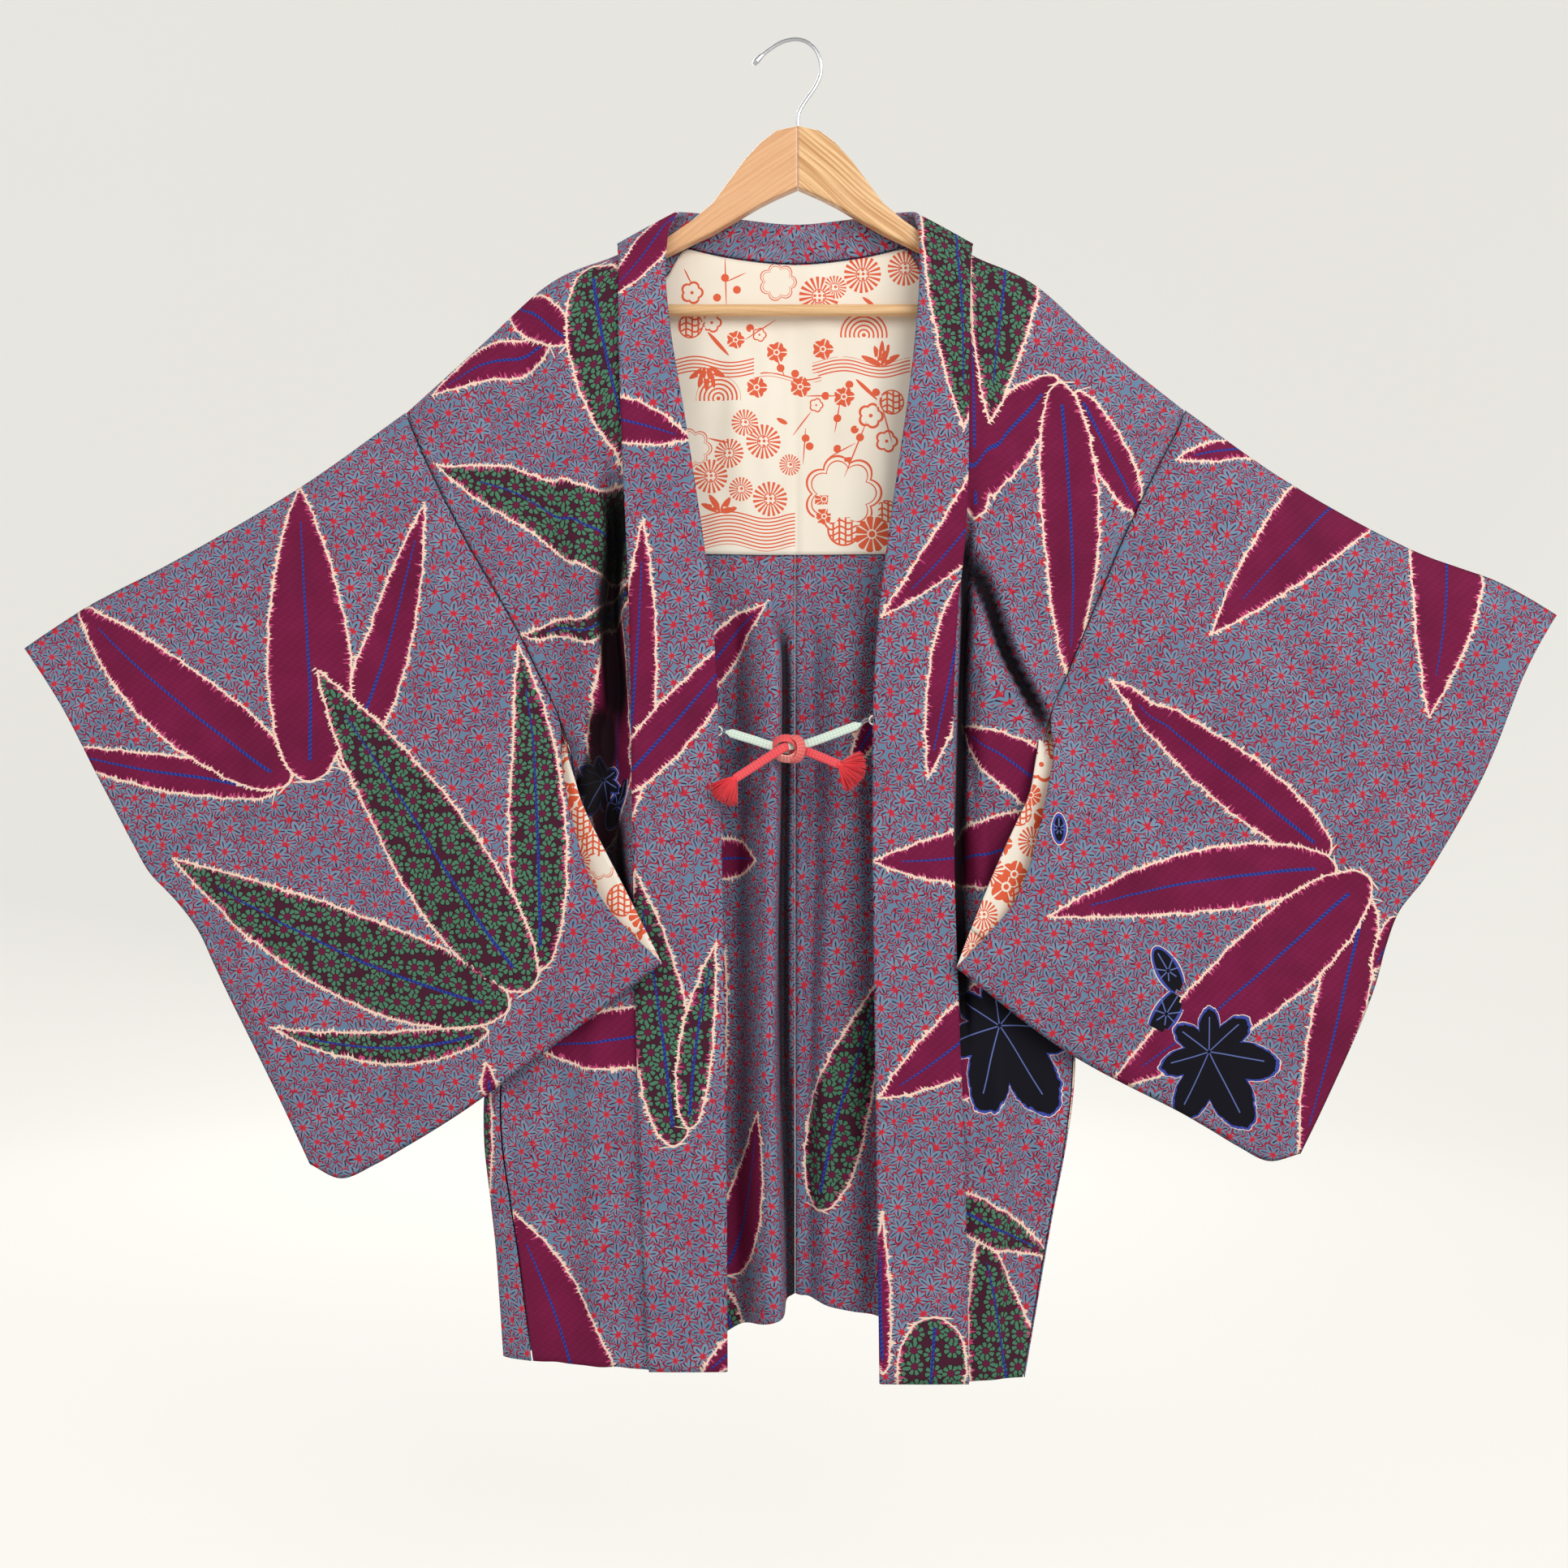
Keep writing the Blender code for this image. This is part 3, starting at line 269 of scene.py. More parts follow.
def travel(points):
    """Length along the points, from nothing at the first."""
    steps = np.linalg.norm(np.diff(points, axis=0), axis=1)
    return np.concatenate([[0.0], np.cumsum(steps)])


def patch(bottom, top, start, end, turn=None):
    """A Coons surface between four edges: start and end run from bottom to top, bottom
    and top run from start to end. Rows go up, columns go across. With turn, the top
    edge's own depth dies away over that length instead of over the whole height."""
    lengths = travel(end)
    v = (lengths / lengths[-1])[:, None, None]
    u = np.linspace(0.0, 1.0, len(bottom))[None, :, None]
    across = (1 - u) * start[:, None, :] + u * end[:, None, :]
    from_bottom = bottom[None, :, :] - (1 - u) * bottom[0] - u * bottom[-1]
    from_top = top[None, :, :] - (1 - u) * top[0] - u * top[-1]
    surface = across + (1 - v) * from_bottom + v * from_top
    if turn is not None:
        near = np.exp((lengths - lengths[-1]) / turn)[:, None]
        surface[..., 1] += (near - v[..., 0]) * from_top[..., 1]
    return surface


def smoothstep(value):
    value = np.clip(value, 0.0, 1.0)
    return value * value * (3 - 2 * value)


def fold(points, folds, keep=0.0):
    """Moves the points in depth along each fold. The outer rows and columns, which are
    seams, stay where they are, apart from the share given by keep at the hem row."""
    points = points.copy()
    rows, columns = points.shape[:2]
    across = np.linspace(0.0, 1.0, columns)[None, :]
    up = np.linspace(0.0, 1.0, rows)[:, None]
    inside = smoothstep(across * SEAM_FADE) * smoothstep((1 - across) * SEAM_FADE)
    inside = inside * smoothstep((1 - up) * SEAM_FADE)
    inside = inside * np.maximum(smoothstep(up * SEAM_FADE), keep)
    x, z = points[..., 0], points[..., 2]
    for top_x, top_z, foot_x, foot_z, half_width, depth in folds:
        length = top_z - foot_z
        share = (top_z - z) / length
        centre = top_x + (foot_x - top_x) * np.clip(share, 0.0, 1.0)
        ends = smoothstep((top_z - z) / FOLD_FADE) * smoothstep((z - foot_z) / FOLD_FADE)
        profile = np.exp(-((x - centre) / half_width) ** 2)
        points[..., 1] += depth * profile * ends * inside
    return points


# ------------------------------------------------------------------------------ collar

def neck_rows(side):
    sign = -1 if side == "left" else 1
    return [(sign * fx, fy, fz, sign * ex, ey, ez, under)
            for fx, fy, fz, ex, ey, ez, under in COLLAR_NECK]


def collar_rows():
    """The whole band: left hem, left shoulder, back neck, right shoulder, right hem.
    Each row is the fold's point, the free edge's point and the width of the under half."""
    def front(side):
        return [(fold_x, depth, height, edge, depth, height - drop, under)
                for height, fold_x, edge, drop, depth, under in COLLAR_FRONT[side]]
    left, right = front("left"), front("right")
    neck = neck_rows("left")
    return left + neck + neck_rows("right")[-2::-1] + right[::-1]


def collar_stations():
    rows = collar_rows()
    left_top = len(COLLAR_FRONT["left"])
    right_top = left_top + 2 * len(COLLAR_NECK) - 2
    end = len(rows) - 1
    lower = np.linspace(0.0, ARMHOLE_LEVEL, SIDE_ROWS + 1)[:-1]
    upper = ARMHOLE_LEVEL + (1 - ARMHOLE_LEVEL) * np.array(ARMHOLE_SHARES)
    shares = np.concatenate([lower, upper])
    return np.concatenate([
        even(rows, first=0, last=left_top, shares=shares),
        even(rows, 2 * NECK_COLUMNS, left_top, right_top)[1:-1],
        even(rows, first=right_top, last=end, shares=1 - shares[::-1]),
    ])


def collar_frame(stations):
    """Across and out of the band at each station, and its width."""
    fold_line, edge = stations[:, :3], stations[:, 3:6]
    along = np.gradient(fold_line, axis=0)
    along /= np.linalg.norm(along, axis=1, keepdims=True)
    width = np.linalg.norm(edge - fold_line, axis=1, keepdims=True)
    across = (edge - fold_line) / width
    out = np.cross(along, across)
    out /= np.linalg.norm(out, axis=1, keepdims=True)
    return across, out, width


def collar_seam(stations):
    """Where the body meets the collar, just clear of the band's under half."""
    across, out, _ = collar_frame(stations)
    return (stations[:, :3] + across * (stations[:, 6:7] + COLLAR_SEAM)
            - out * COLLAR_HALF_GAP)


# -------------------------------------------------------------------------------- body

def side_curves(side):
    """The front and back panels' edges from the hem up to the shoulder ridge."""
    lower = even(SIDE_SEAM[side], SIDE_ROWS, spread=2)
    upper = even(ARMHOLE[side], spread=2, shares=ARMHOLE_SHARES)
    front = np.concatenate([lower[:, [0, 2, 1]], upper[1:, [0, 2, 1]]])
    back = np.concatenate([lower[:, [3, 4, 1]], upper[1:, [0, 3, 1]]])
    return front, back


def inward(curve, side, amount):
    sign = 1 if side == "left" else -1
    moved = curve.copy()
    moved[:, 0] += sign * amount
    return moved


def body_patches(side, stations):
    """The front and back of one side's cloth. Rows run from the hem up, columns from
    the centre out to the side."""
    seam = collar_seam(stations)
    front_count = SIDE_ROWS + ARMHOLE_ROWS + 1
    if side == "left":
        front_seam = seam[:front_count]
        neck_seam = seam[front_count - 1:front_count + NECK_COLUMNS][::-1]
    else:
        front_seam = seam[-front_count:][::-1]
        neck_seam = seam[-front_count - NECK_COLUMNS:len(seam) - front_count + 1]
    side_front, side_back = side_curves(side)
    side_front = inward(side_front, side, SEAM)
    side_back = inward(side_back, side, SEAM)
    ridge_rows = [tuple(front_seam[-1])]
    ridge_rows += [(x, 0.0, z) for x, z in RIDGE[side]] + [tuple(side_front[-1])]
    ridge = even(ridge_rows, FRONT_COLUMNS)
    hem = even([front_seam[0], side_front[0]], FRONT_COLUMNS)
    front = patch(hem, ridge, front_seam, side_front, turn=RIDGE_TURN)

    sign = -1 if side == "left" else 1
    neck_seam = neck_seam.copy()
    neck_seam[0, 0] = sign * SEAM
    centre_rows = [(sign * SEAM, depth, height) for height, depth in CENTRE_BACK]
    centre_rows += [tuple(neck_seam[0])]
    centre = even(centre_rows, shares=travel(side_back) / travel(side_back)[-1])
    top = np.concatenate([neck_seam, ridge[1:]])
    columns = len(top) - 1
    middle = (centre[0] + side_back[0]) / 2 + np.array([0.0, 0.0, BACK_HEM_DIP[side]])
    back_hem = even([centre[0], middle, side_back[0]], columns)
    back = patch(back_hem, top, centre, side_back, turn=RIDGE_TURN)
    return (fold(front, FOLDS["front_" + side], keep=1.0),
            fold(back, FOLDS["back_" + side], keep=1.0))


def gusset_points(side):
    """The wedge between the front and back panels, from the armhole end to the hem."""
    sign = -1 if side == "left" else 1
    front, back = side_curves(side)
    front = inward(front[:SIDE_ROWS + 1], side, -EDGE_TO_FACE)
    back = inward(back[:SIDE_ROWS + 1], side, -EDGE_TO_FACE)
    for edge in (front, back):
        edge[-1] = edge[-2] + (edge[-1] - edge[-2]) * GUSSET_TOP
    columns = []
    height = np.linspace(1.0, GUSSET_TOP_FULLNESS, SIDE_ROWS + 1)
    for share in np.linspace(0.0, 1.0, GUSSET_COLUMNS):
        column = front * (1 - share) + back * share
        column[:, 0] += sign * GUSSET_BULGE[side] * height * math.sin(math.pi * share)
        columns.append(column)
    return np.stack(columns, axis=1)


def back_lining_points(left, right, parts):
    """The lining's middle surface, from the fine back panels, moved forward off them."""
    columns = []
    reach = (NECK_COLUMNS + LINING_SIDE_COLUMNS) * parts
    for panel, order in ((left, range(reach, -1, -1)), (right, range(1, reach + 1))):
        for column in order:
            line = panel[:, column]
            heights = line[:, 2]
            drop = smoothstep((column / parts - NECK_COLUMNS + 2) / 1.5)
            top = heights[-1] - LINING_BELOW_NECK - drop * (
                LINING_BELOW_RIDGE - LINING_BELOW_NECK)
            wanted = np.linspace(LINING_FOOT, top, LINING_ROWS * FINE_ROWS + 1)
            columns.append(np.array([[np.interp(z, heights, line[:, axis])
                                      for axis in range(3)] for z in wanted]))
    return np.stack(columns, axis=1) + LINING_SHIFT


def sleeve_patches(side):
    """The front and back layers. Rows run from the bottom up, columns from the body
    out to the cuff."""
    front_edge, back_edge = side_curves(side)
    lower = np.array(SLEEVE_BOTTOM[side])[::-1][:, [0, 2, 1]]
    bottom = even(lower, SLEEVE_COLUMNS)
    shoulder = inward(front_edge[-1:], side, -SEAM)
    top_rows = [tuple(shoulder[0])] + [(x, 0.0, z) for x, z in SLEEVE_TOP[side]]
    top = even(top_rows, SLEEVE_COLUMNS)
    cuff = even(np.array(SLEEVE_CUFF[side])[::-1], FURI_ROWS + ARMHOLE_ROWS, spread=2)
    patches = {}
    for layer, edge, facing in (("front", front_edge, -1), ("back", back_edge, 1)):
        armhole = inward(edge[SIDE_ROWS:], side, -SEAM)
        rows = np.array(FURI[side][layer])[:, [0, 2, 1]][::-1]
        furi = even(rows, FURI_ROWS)
        furi[-1] = armhole[0]
        inner = np.concatenate([furi, armhole[1:]])
        outer = np.column_stack([cuff[:, 0], facing * cuff[:, 2], cuff[:, 1]])
        outer[cuff[:, 2] < CLOSED_CUFF, 1] = 0.0
        outer[:, 1] += bottom[-1][1] * np.linspace(1.0, 0.0, len(outer))
        outer[0], outer[-1] = bottom[-1], top[-1]
        surface = patch(bottom, top, inner, outer)
        across = np.sin(np.pi * np.linspace(0, 1, surface.shape[1]) ** BULGE_SKEW)
        up = np.sin(np.pi * np.linspace(0, 1, surface.shape[0]))
        surface[..., 1] += BULGE[layer] * np.outer(up, across) ** BULGE_FLATNESS
        patches[layer] = fold(surface, FOLDS[f"sleeve_{side}_{layer}"])
    return patches



# ------------------------------------------------------------------------ finer cloth

def finer(rows, parts):
    """The smooth curve through the rows, with parts steps between each two of them."""
    padded = np.concatenate([2 * rows[:1] - rows[1:2], rows, 2 * rows[-1:] - rows[-2:-1]])
    count = len(rows) - 1
    position = np.arange(count * parts + 1) / parts
    index = np.minimum(position.astype(int), count - 1)
    share = (position - index).reshape((-1,) + (1,) * (rows.ndim - 1))
    p0, p1, p2, p3 = (padded[index + step] for step in range(4))
    return p1 + 0.5 * share * (p2 - p0 + share * (
        2 * p0 - 5 * p1 + 4 * p2 - p3 + share * (3 * (p1 - p2) + p3 - p0)))


def refine(points, row_parts, column_parts):
    """The same surface on a finer grid, smooth through the given points."""
    return finer(finer(points, row_parts).swapaxes(0, 1), column_parts).swapaxes(0, 1)


CREASE_FADE = (0.35, 60.0)    # a crease fades in over this share of its length, or less
WANDER = (0.35, 7.0)      # how far, in half widths, a crease winds, and how often
WAVES = dict(count=14, shortest=34.0, longest=130.0, tilt=0.6, bend=18.0)   # of slack
DEEP = 8.0                # troughs deeper than this have steep sides and painted shade at the bottom
PAINTED_SHADE_FULL_DEPTH = 9.0             # from this depth on a trough's painted shade is as dark as any
PAINTED_SHADE_STRENGTH = 0.95       # how much of its colour the darkest trough loses to painted shade
PAINTED_SHADE_REACH = 1.7        # above 1 the painted shade reaches further up a trough's sides


def crease_profiles(x, z, creases):
    """Each crease with its profile, 0 to 1, at the given places."""
    for row in creases:
        top_x, top_z, foot_x, foot_z, half_width, depth, _ = row
        along = np.array([foot_x - top_x, foot_z - top_z], float)
        length = np.linalg.norm(along)
        along /= length
        t = (x - top_x) * along[0] + (z - top_z) * along[1]
        s = (x - top_x) * along[1] - (z - top_z) * along[0]
        fade = min(CREASE_FADE[0] * length, CREASE_FADE[1])
        ends = smoothstep((t + fade / 2) / fade) * smoothstep((length + fade / 2 - t) / fade)
        wander = half_width * WANDER[0] * np.sin(t / length * WANDER[1] + top_x)
        steep = 4 if depth > DEEP else 2
        yield row, np.exp(-np.abs((s + wander) / half_width) ** steep) * ends


def crease(points, creases):
    """Soft troughs and ridges along lines, each with its own width, depth and sideways
    drag, which lets a trough's edge hang over it."""
    points = points.copy()
    x, z = points[..., 0].copy(), points[..., 2].copy()
    for (_, _, _, _, _, depth, drag), profile in crease_profiles(x, z, creases):
        points[..., 1] += depth * profile
        points[..., 0] += drag * profile
    return points


def painted_fold_shade(points, creases):
    """How much painted shade lies inside the deepest troughs, 0 to 1."""
    dark = np.zeros(points.shape[:2])
    for row, profile in crease_profiles(points[..., 0], points[..., 2], creases):
        if row[5] > DEEP:
            dark = np.maximum(dark, np.minimum(1.0, profile * PAINTED_SHADE_REACH)
                              * min(1.0, row[5] / PAINTED_SHADE_FULL_DEPTH))
    return dark * PAINTED_SHADE_STRENGTH


def slack(points, seed, size):
    """A slight unevenness all over, as of cloth that has been folded and hung up."""
    random = np.random.default_rng(seed)
    points = points.copy()
    x, z = points[..., 0], points[..., 2]
    for _ in range(WAVES["count"]):
        angle = random.uniform(-WAVES["tilt"], WAVES["tilt"])
        wave = random.uniform(WAVES["shortest"], WAVES["longest"])
        phase = random.uniform(0.0, 2 * math.pi)
        direction = x * math.cos(angle) + z * math.sin(angle) * 0.7
        bend = WAVES["bend"] * np.sin(z / random.uniform(70.0, 160.0) + phase)
        points[..., 1] += size * wave / WAVES["longest"] * np.sin(
            2 * math.pi * (direction + bend) / wave + phase) * 0.3
    return points


def unroll(points, anchor):
    """Flat cloth coordinates: X and Z, lengthened where the cloth runs in depth. The
    column given by anchor keeps its own X."""
    def lengthened(axis, ahead):
        steps = np.diff(points, axis=axis)
        flat = np.maximum(steps[..., 0] ** 2 + steps[..., 2] ** 2, 1e-6)
        steps = np.cumsum(steps[..., ahead] * np.sqrt(1 + steps[..., 1] ** 2 / flat), axis)
        return np.concatenate([0 * steps.take([0], axis), steps], axis)

    u, v = lengthened(1, 0), lengthened(0, 2)
    u += (points[:, anchor, 0] - u[:, anchor])[:, None]
    v += points[0, :, 2][None, :]
    return np.stack([u, v], axis=-1)


class Sheet:
    """Grids of one piece of cloth, joined where their edges coincide. Each grid keeps
    its own flat coordinates and its own chart of printed motifs."""

    def __init__(self):
        self.points, self.faces, self.flat, self.charts, self.slots = [], [], [], [], []
        self.count = 0

    def add(self, points, flat, chart, slot=0, facing=-1, painted_shade=None):
        rows, columns = points.shape[:2]
        painted_shade = np.zeros((rows, columns)) if painted_shade is None else painted_shade
        # The flat coordinates carry the painted fold shade as their third value.
        flat = np.concatenate([flat, painted_shade[..., None]], axis=-1)
        index = np.arange(rows * columns).reshape(rows, columns)
        quads = np.stack([index[:-1, :-1], index[:-1, 1:], index[1:, 1:], index[1:, :-1]],
                         axis=-1).reshape(-1, 4)
        a, b, c = (points.reshape(-1, 3)[quads[:, k]] for k in (0, 1, 3))
        if np.cross(b - a, c - a)[:, 1].sum() * facing < 0:
            quads = quads[:, ::-1]
        self.points.append(points.reshape(-1, 3))
        self.faces.append(quads + self.count)
        self.flat.append(flat.reshape(-1, 3)[quads])
        self.charts += [chart] * len(quads)
        self.slots += [slot] * len(quads)
        self.count += rows * columns

    def build(self, name, materials, wall, layers, inner_shift=0):
        """The object, its cloth as thick as the wall. inner_shift is counted in
        materials, from a face's own one to that of its inner side."""
        points = np.concatenate(self.points)
        faces = np.concatenate(self.faces)
        flat = np.concatenate(self.flat)
        _, first, merged = np.unique(np.round(points / SAME_POINT), axis=0,
                                     return_index=True, return_inverse=True)
        faces = merged.reshape(-1)[faces]
        mesh = bpy.data.meshes.new(name)
        mesh.from_pydata((points[first] * MM).tolist(), [], faces.tolist())
        mesh.polygons.foreach_set("material_index", np.array(self.slots, np.int32))
        mesh.shade_smooth()
        for made in materials:
            mesh.materials.append(made)
        add_corners(mesh, "flat", flat, "FLOAT_VECTOR", "vector")
        charts = np.array(self.charts)
        for layer in layers:
            values = np.zeros(flat.shape[:2] + (4,))
            for chart in sorted(set(self.charts)):
                here = charts == chart
                values[here] = chart_layer(flat[here][..., :2], layer, chart)
            add_corners(mesh, layer, values, "FLOAT_COLOR", "color")
        piece = linked(name, mesh)
        thicken = piece.modifiers.new("wall", "SOLIDIFY")
        thicken.thickness = wall * MM
        thicken.offset = 0.0
        thicken.material_offset = inner_shift
        return piece


def add_corners(mesh, name, values, kind, field):
    made = mesh.attributes.new(name, kind, "CORNER")
    made.data.foreach_set(field, np.ascontiguousarray(values, np.float32).ravel())


def linked(name, data):
    """A new object in the scene, with this data."""
    made = bpy.data.objects.new(name, data)
    bpy.context.scene.collection.objects.link(made)
    return made

# --------------------------------------------------------------- charts of the print
# Motifs lie in each grid's flat coordinates, which are X and Z where the cloth is flat.

LEAVES = {
    # layer: base_x, base_z, tip_x, tip_z, half_width, bend
    "sleeve_left_front": {
        "wine_a": [(-386, -561, -576, -528, 14, 2), (-336, -545, -275, -344, 19, -4),
                   (-227, -792, -230, -762, 6, 0)],
        "wine_b": [(-376, -554, -541, -418, 29, 8)],
        "wine_c": [(-361, -553, -371, -328, 31, -4)],
        "dark_a": [(-227, -739, -395, -739, 13, 14), (-187, -693, -206, -448, 22, -6)],
        "dark_b": [(-195, -708, -356, -470, 34, 3), (-211, -722, -466, -612, 33, 14)]},
    "sleeve_left_back": {
        "wine_a": [(-400, -520, -290, -430, 22, 5), (-415, -530, -490, -610, 20, 5)],
        "wine_b": [(-405, -525, -500, -425, 28, -5)],
        "dark_a": [(-215, -660, -250, -470, 30, 6), (-210, -675, -300, -790, 18, 5)],
        "dark_b": [(-225, -665, -400, -700, 28, -7)]},
    "front_left": {
        "dark_a": [(-27, -393, -268, -318, 33, 0), (-78, -411, -209, -447, 11, 0)],
        "dark_b": [(-151, -156, -116, -325, 26, -4)],
        "wine_a": [(-182, -219, -272, -261, 15, -3), (-132, -603, -106, -362, 25, 4),
                   (-147, -1052, -210, -875, 31, -4)],
        "wine_b": [(-166, -216, -228, -165, 17, 2), (-78, -737, -199, -753, 23, 2)]},
    "collar_left": {
        "wine_a": [(-159, -281, -77, -303, 18, 2), (-129, -590, -112, -362, 17, -3)],
        "wine_b": [(-141, -569, -17, -425, 18, -3), (-33, -962, -71, -995, 10, 1),
                   (-85, -122, -151, -185, 18, 3)],
        "dark_a": [(-89, -824, -118, -621, 22, -3)],
        "dark_b": [(-78, -811, -58, -673, 13, 4)]},
    "back_left": {
        "wine_a": [(-83, -495, -19, -412, 15, -2), (-60, -874, -46, -680, 12, 4),
                   (-150, -720, -205, -600, 26, 5)],
        "wine_b": [(-69, -617, -10, -614, 16, 2), (-52, -930, -2, -801, 21, -5)],
        "dark_a": [(-42, -990, -58, -930, 11, 0), (-150, -330, -250, -290, 28, 6),
                   (-132, -325, -60, -230, 25, 5)],
        "dark_b": [(-140, -335, -190, -480, 27, -6), (-110, -990, -170, -880, 24, 4)],
        "wine_c": [(-145, -730, -205, -850, 25, -5)]},
    "back_right": {
        "dark_a": [(6, -880, 63, -701, 25, 6), (150, -695, 195, -800, 24, 5)],
        "wine_a": [(59, -508, 31, -545, 9, 0), (140, -300, 235, -350, 28, -6),
                   (140, -1010, 95, -880, 26, -5)],
        "wine_b": [(130, -305, 170, -460, 28, 5), (125, -285, 150, -210, 18, 3)],
        "wine_c": [(122, -295, 40, -235, 24, 5)],
        "dark_b": [(140, -690, 95, -560, 25, 5)]},
    "collar_right": {
        "dark_a": [(123, -32, 124, -297, 30, 0), (103, -950, 96, -1058, 26, 0)],
        "wine_a": [(187, -260, 62, -435, 22, 14), (210, -589, 56, -614, 24, 8)],
        "wine_b": [(129, -405, 97, -554, 17, 0), (169, -703, 60, -789, 24, 5)],
        "wine_c": [(65, -992, 64, -872, 8, 2)]},
    "front_right": {
        "dark_a": [(169, -56, 142, -279, 28, 0), (167, -1058, 127, -885, 28, -4)],
        "wine_a": [(132, -350, 130, -201, 14, 0), (193, -237, 48, -411, 23, 0),
                   (210, -589, 56, -614, 26, 8)],
        "wine_c": [(196, -242, 205, -483, 22, 4)],
        "wine_b": [(209, -248, 259, -371, 14, 5), (210, -578, 111, -512, 21, -3),
                   (169, -703, 66, -797, 33, 8)],
        "dark_b": [(90, -863, 192, -910, 16, 2)]},
    "sleeve_right_front": {
        "wine_a": [(351, -295, 282, -312, 10, 0), (491, -261, 307, -445, 35, -4),
                   (402, -610, 233, -475, 21, 2), (432, -642, 379, -842, 21, 0)],
        "wine_b": [(497, -287, 473, -507, 30, 3), (408, -620, 184, -654, 24, -7),
                   (461, -657, 435, -699, 11, 0)],
        "wine_c": [(432, -627, 229, -787, 32, 4)]},
    "sleeve_right_back": {
        "dark_a": [(400, -540, 330, -420, 30, 6), (405, -560, 440, -670, 22, 5)],
        "dark_b": [(410, -545, 495, -440, 26, -5)],
        "wine_a": [(270, -700, 215, -560, 26, 6)],
        "wine_b": [(280, -705, 410, -760, 26, -6)],
        "wine_c": [(265, -715, 190, -730, 14, 3)]},
    "machi_left": {
        "dark_a": [(-246, -890, -230, -775, 14, 2)]},
    "machi_right": {
        "dark_a": [(224, -885, 214, -742, 16, 0)]},
}

MAPLES = {
    # x, z, radius of the longest lobe, its direction in degrees; a bud's is over 700
    "front_left": [
        (-142, -551, 31, -110), (-121, -566, 20, 795)],
    "front_right": [
        (149, -735, 80, -57)],
    "sleeve_right_front": [
        (309, -756, 66, -62), (276, -695, 19, 840), (275, -727, 21, 778), (193, -590, 10, 810)],
    "back_left": [
        (-172, -640, 40, 30)],
    "sleeve_left_back": [
        (-470, -560, 44, 200)],
}

# The lining's motifs. Kinds: 1 rayed chrysanthemum, 2 plum blossom, 3 plum outline,
# 4 berry, 5 netted ball, 6 ripples, 7 cloud edge, 8 daisy.
LINING_MOTIFS = {
    # kind: x, z, radius
    1: [(18, -189, 15), (51, -172, 14), (83, -168, 13), (-38, -285, 10), (-24, -299, 13),
        (-50, -308, 11), (-64, -325, 13), (-41, -335, 9), (-19, -342, 13), (-4, -316, 8),
        (30, -182, 9)],
    8: [(58, -369, 14), (22, -342, 9)],
    2: [(-45, -222, 7), (-14, -231, 8), (21, -229, 8), (-29, -258, 8), (4, -257, 8), (37, -265, 8),
        (22, -355, 7)],
    3: [(-78, -186, 8), (57, -280, 9), (69, -299, 8), (-63, -209, 7), (-27, -218, 5),
        (16, -271, 5)],
    4: [(-53, -175, 3), (-44, -184, 3), (-59, -190, 3), (-11, -243, 3), (0, -247, 3), (23, -264, 3),
        (41, -256, 3), (32, -281, 3), (45, -290, 3), (49, -296, 3), (32, -304, 3), (40, -312, 3),
        (-34, -213, 3), (61, -262, 3), (8, -296, 3), (11, -302, 3)],
    5: [(-79, -211, 9), (73, -269, 9), (37, -365, 12), (69, -352, 8)],
    6: [(52, -218, 18), (-58, -266, 17)],
    7: [(36, -338, 29), (-13, -178, 14), (-78, -304, 15)],
}
LINING_SPRAYS = [
    # base_x, base_z, tip_x, tip_z, half_width: bamboo leaves first, then twigs
    (-67, -243, -80, -251, 2.4), (-68, -243, -73, -258, 2.4), (-66, -243, -61, -258, 2.4),
    (-65, -243, -53, -250, 2.4), (-67, -243, -67, -261, 2.2), (65, -241, 50, -234, 2.4),
    (65, -241, 60, -226, 2.4), (65, -241, 71, -225, 2.4), (65, -241, 79, -233, 2.4),
    (65, -241, 66, -222, 2.2), (-56, -352, -71, -346, 2.4), (-56, -352, -65, -339, 2.4),
    (-56, -352, -49, -341, 2.4), (-56, -352, -44, -349, 2.4), (-6, -285, -14, -281, 1.8),
    (60, -196, 51, -189, 1.5), (-66, -216, -50, -234, 1.5), (-53, -160, -52, -197, 0.55),
    (-52, -178, -37, -171, 0.5), (-38, -222, -14, -206, 0.5), (-14, -236, -8, -249, 0.6),
    (8, -264, 36, -264, 0.55), (12, -276, -2, -294, 0.55), (34, -269, 30, -292, 0.55),
    (54, -284, 37, -326, 0.6), (46, -252, 62, -268, 1.5), (66, -274, 73, -300, 0.6),
    (26, -310, 46, -300, 0.5), (8, -288, 6, -316, 0.5), (-84, -168, -78, -180, 0.6),
    (-50, -300, -66, -296, 0.8)]
LINING_STREAMS = [
    # x, z, half_length, half_height
    (-62, -243, 31, 7), (50, -243, 37, 6), (-36, -366, 36, 13), (-6, -250, 26, 2)]
SCATTER = dict(step=23.0, jitter=6.0, seed=11)   # the lining's motifs where none is placed

FAR = -1000.0             # a place outside every motif


def leaf_width(t):
    """Half width of a bamboo leaf from base to tip, as a share of its widest."""
    return 2.49 * np.sqrt(t) * (1 - t) ** 0.9


def in_leaf(flat, row):
    """Each corner's distance along and off the leaf's middle, and its sizes."""
    base_x, base_z, tip_x, tip_z, half_width, bend = row
    base, tip = np.array([base_x, base_z], float), np.array([tip_x, tip_z], float)
    length = np.linalg.norm(tip - base)
    along = (tip - base) / length
    t = (flat - base) @ along
    s = (flat - base) @ np.array([-along[1], along[0]])
    share = np.clip(t / length, 0.0, 1.0)
    s = s - bend * 4 * share * (1 - share)
    local = np.stack([t, s, np.full_like(t, half_width), np.full_like(t, length)], axis=-1)
    run, off = local[..., :2].mean(axis=1).T
    held = np.clip(run / length, 0.001, 0.999)
    return local, leaf_width(held) * half_width - np.abs(off) - np.abs(run - held * length)


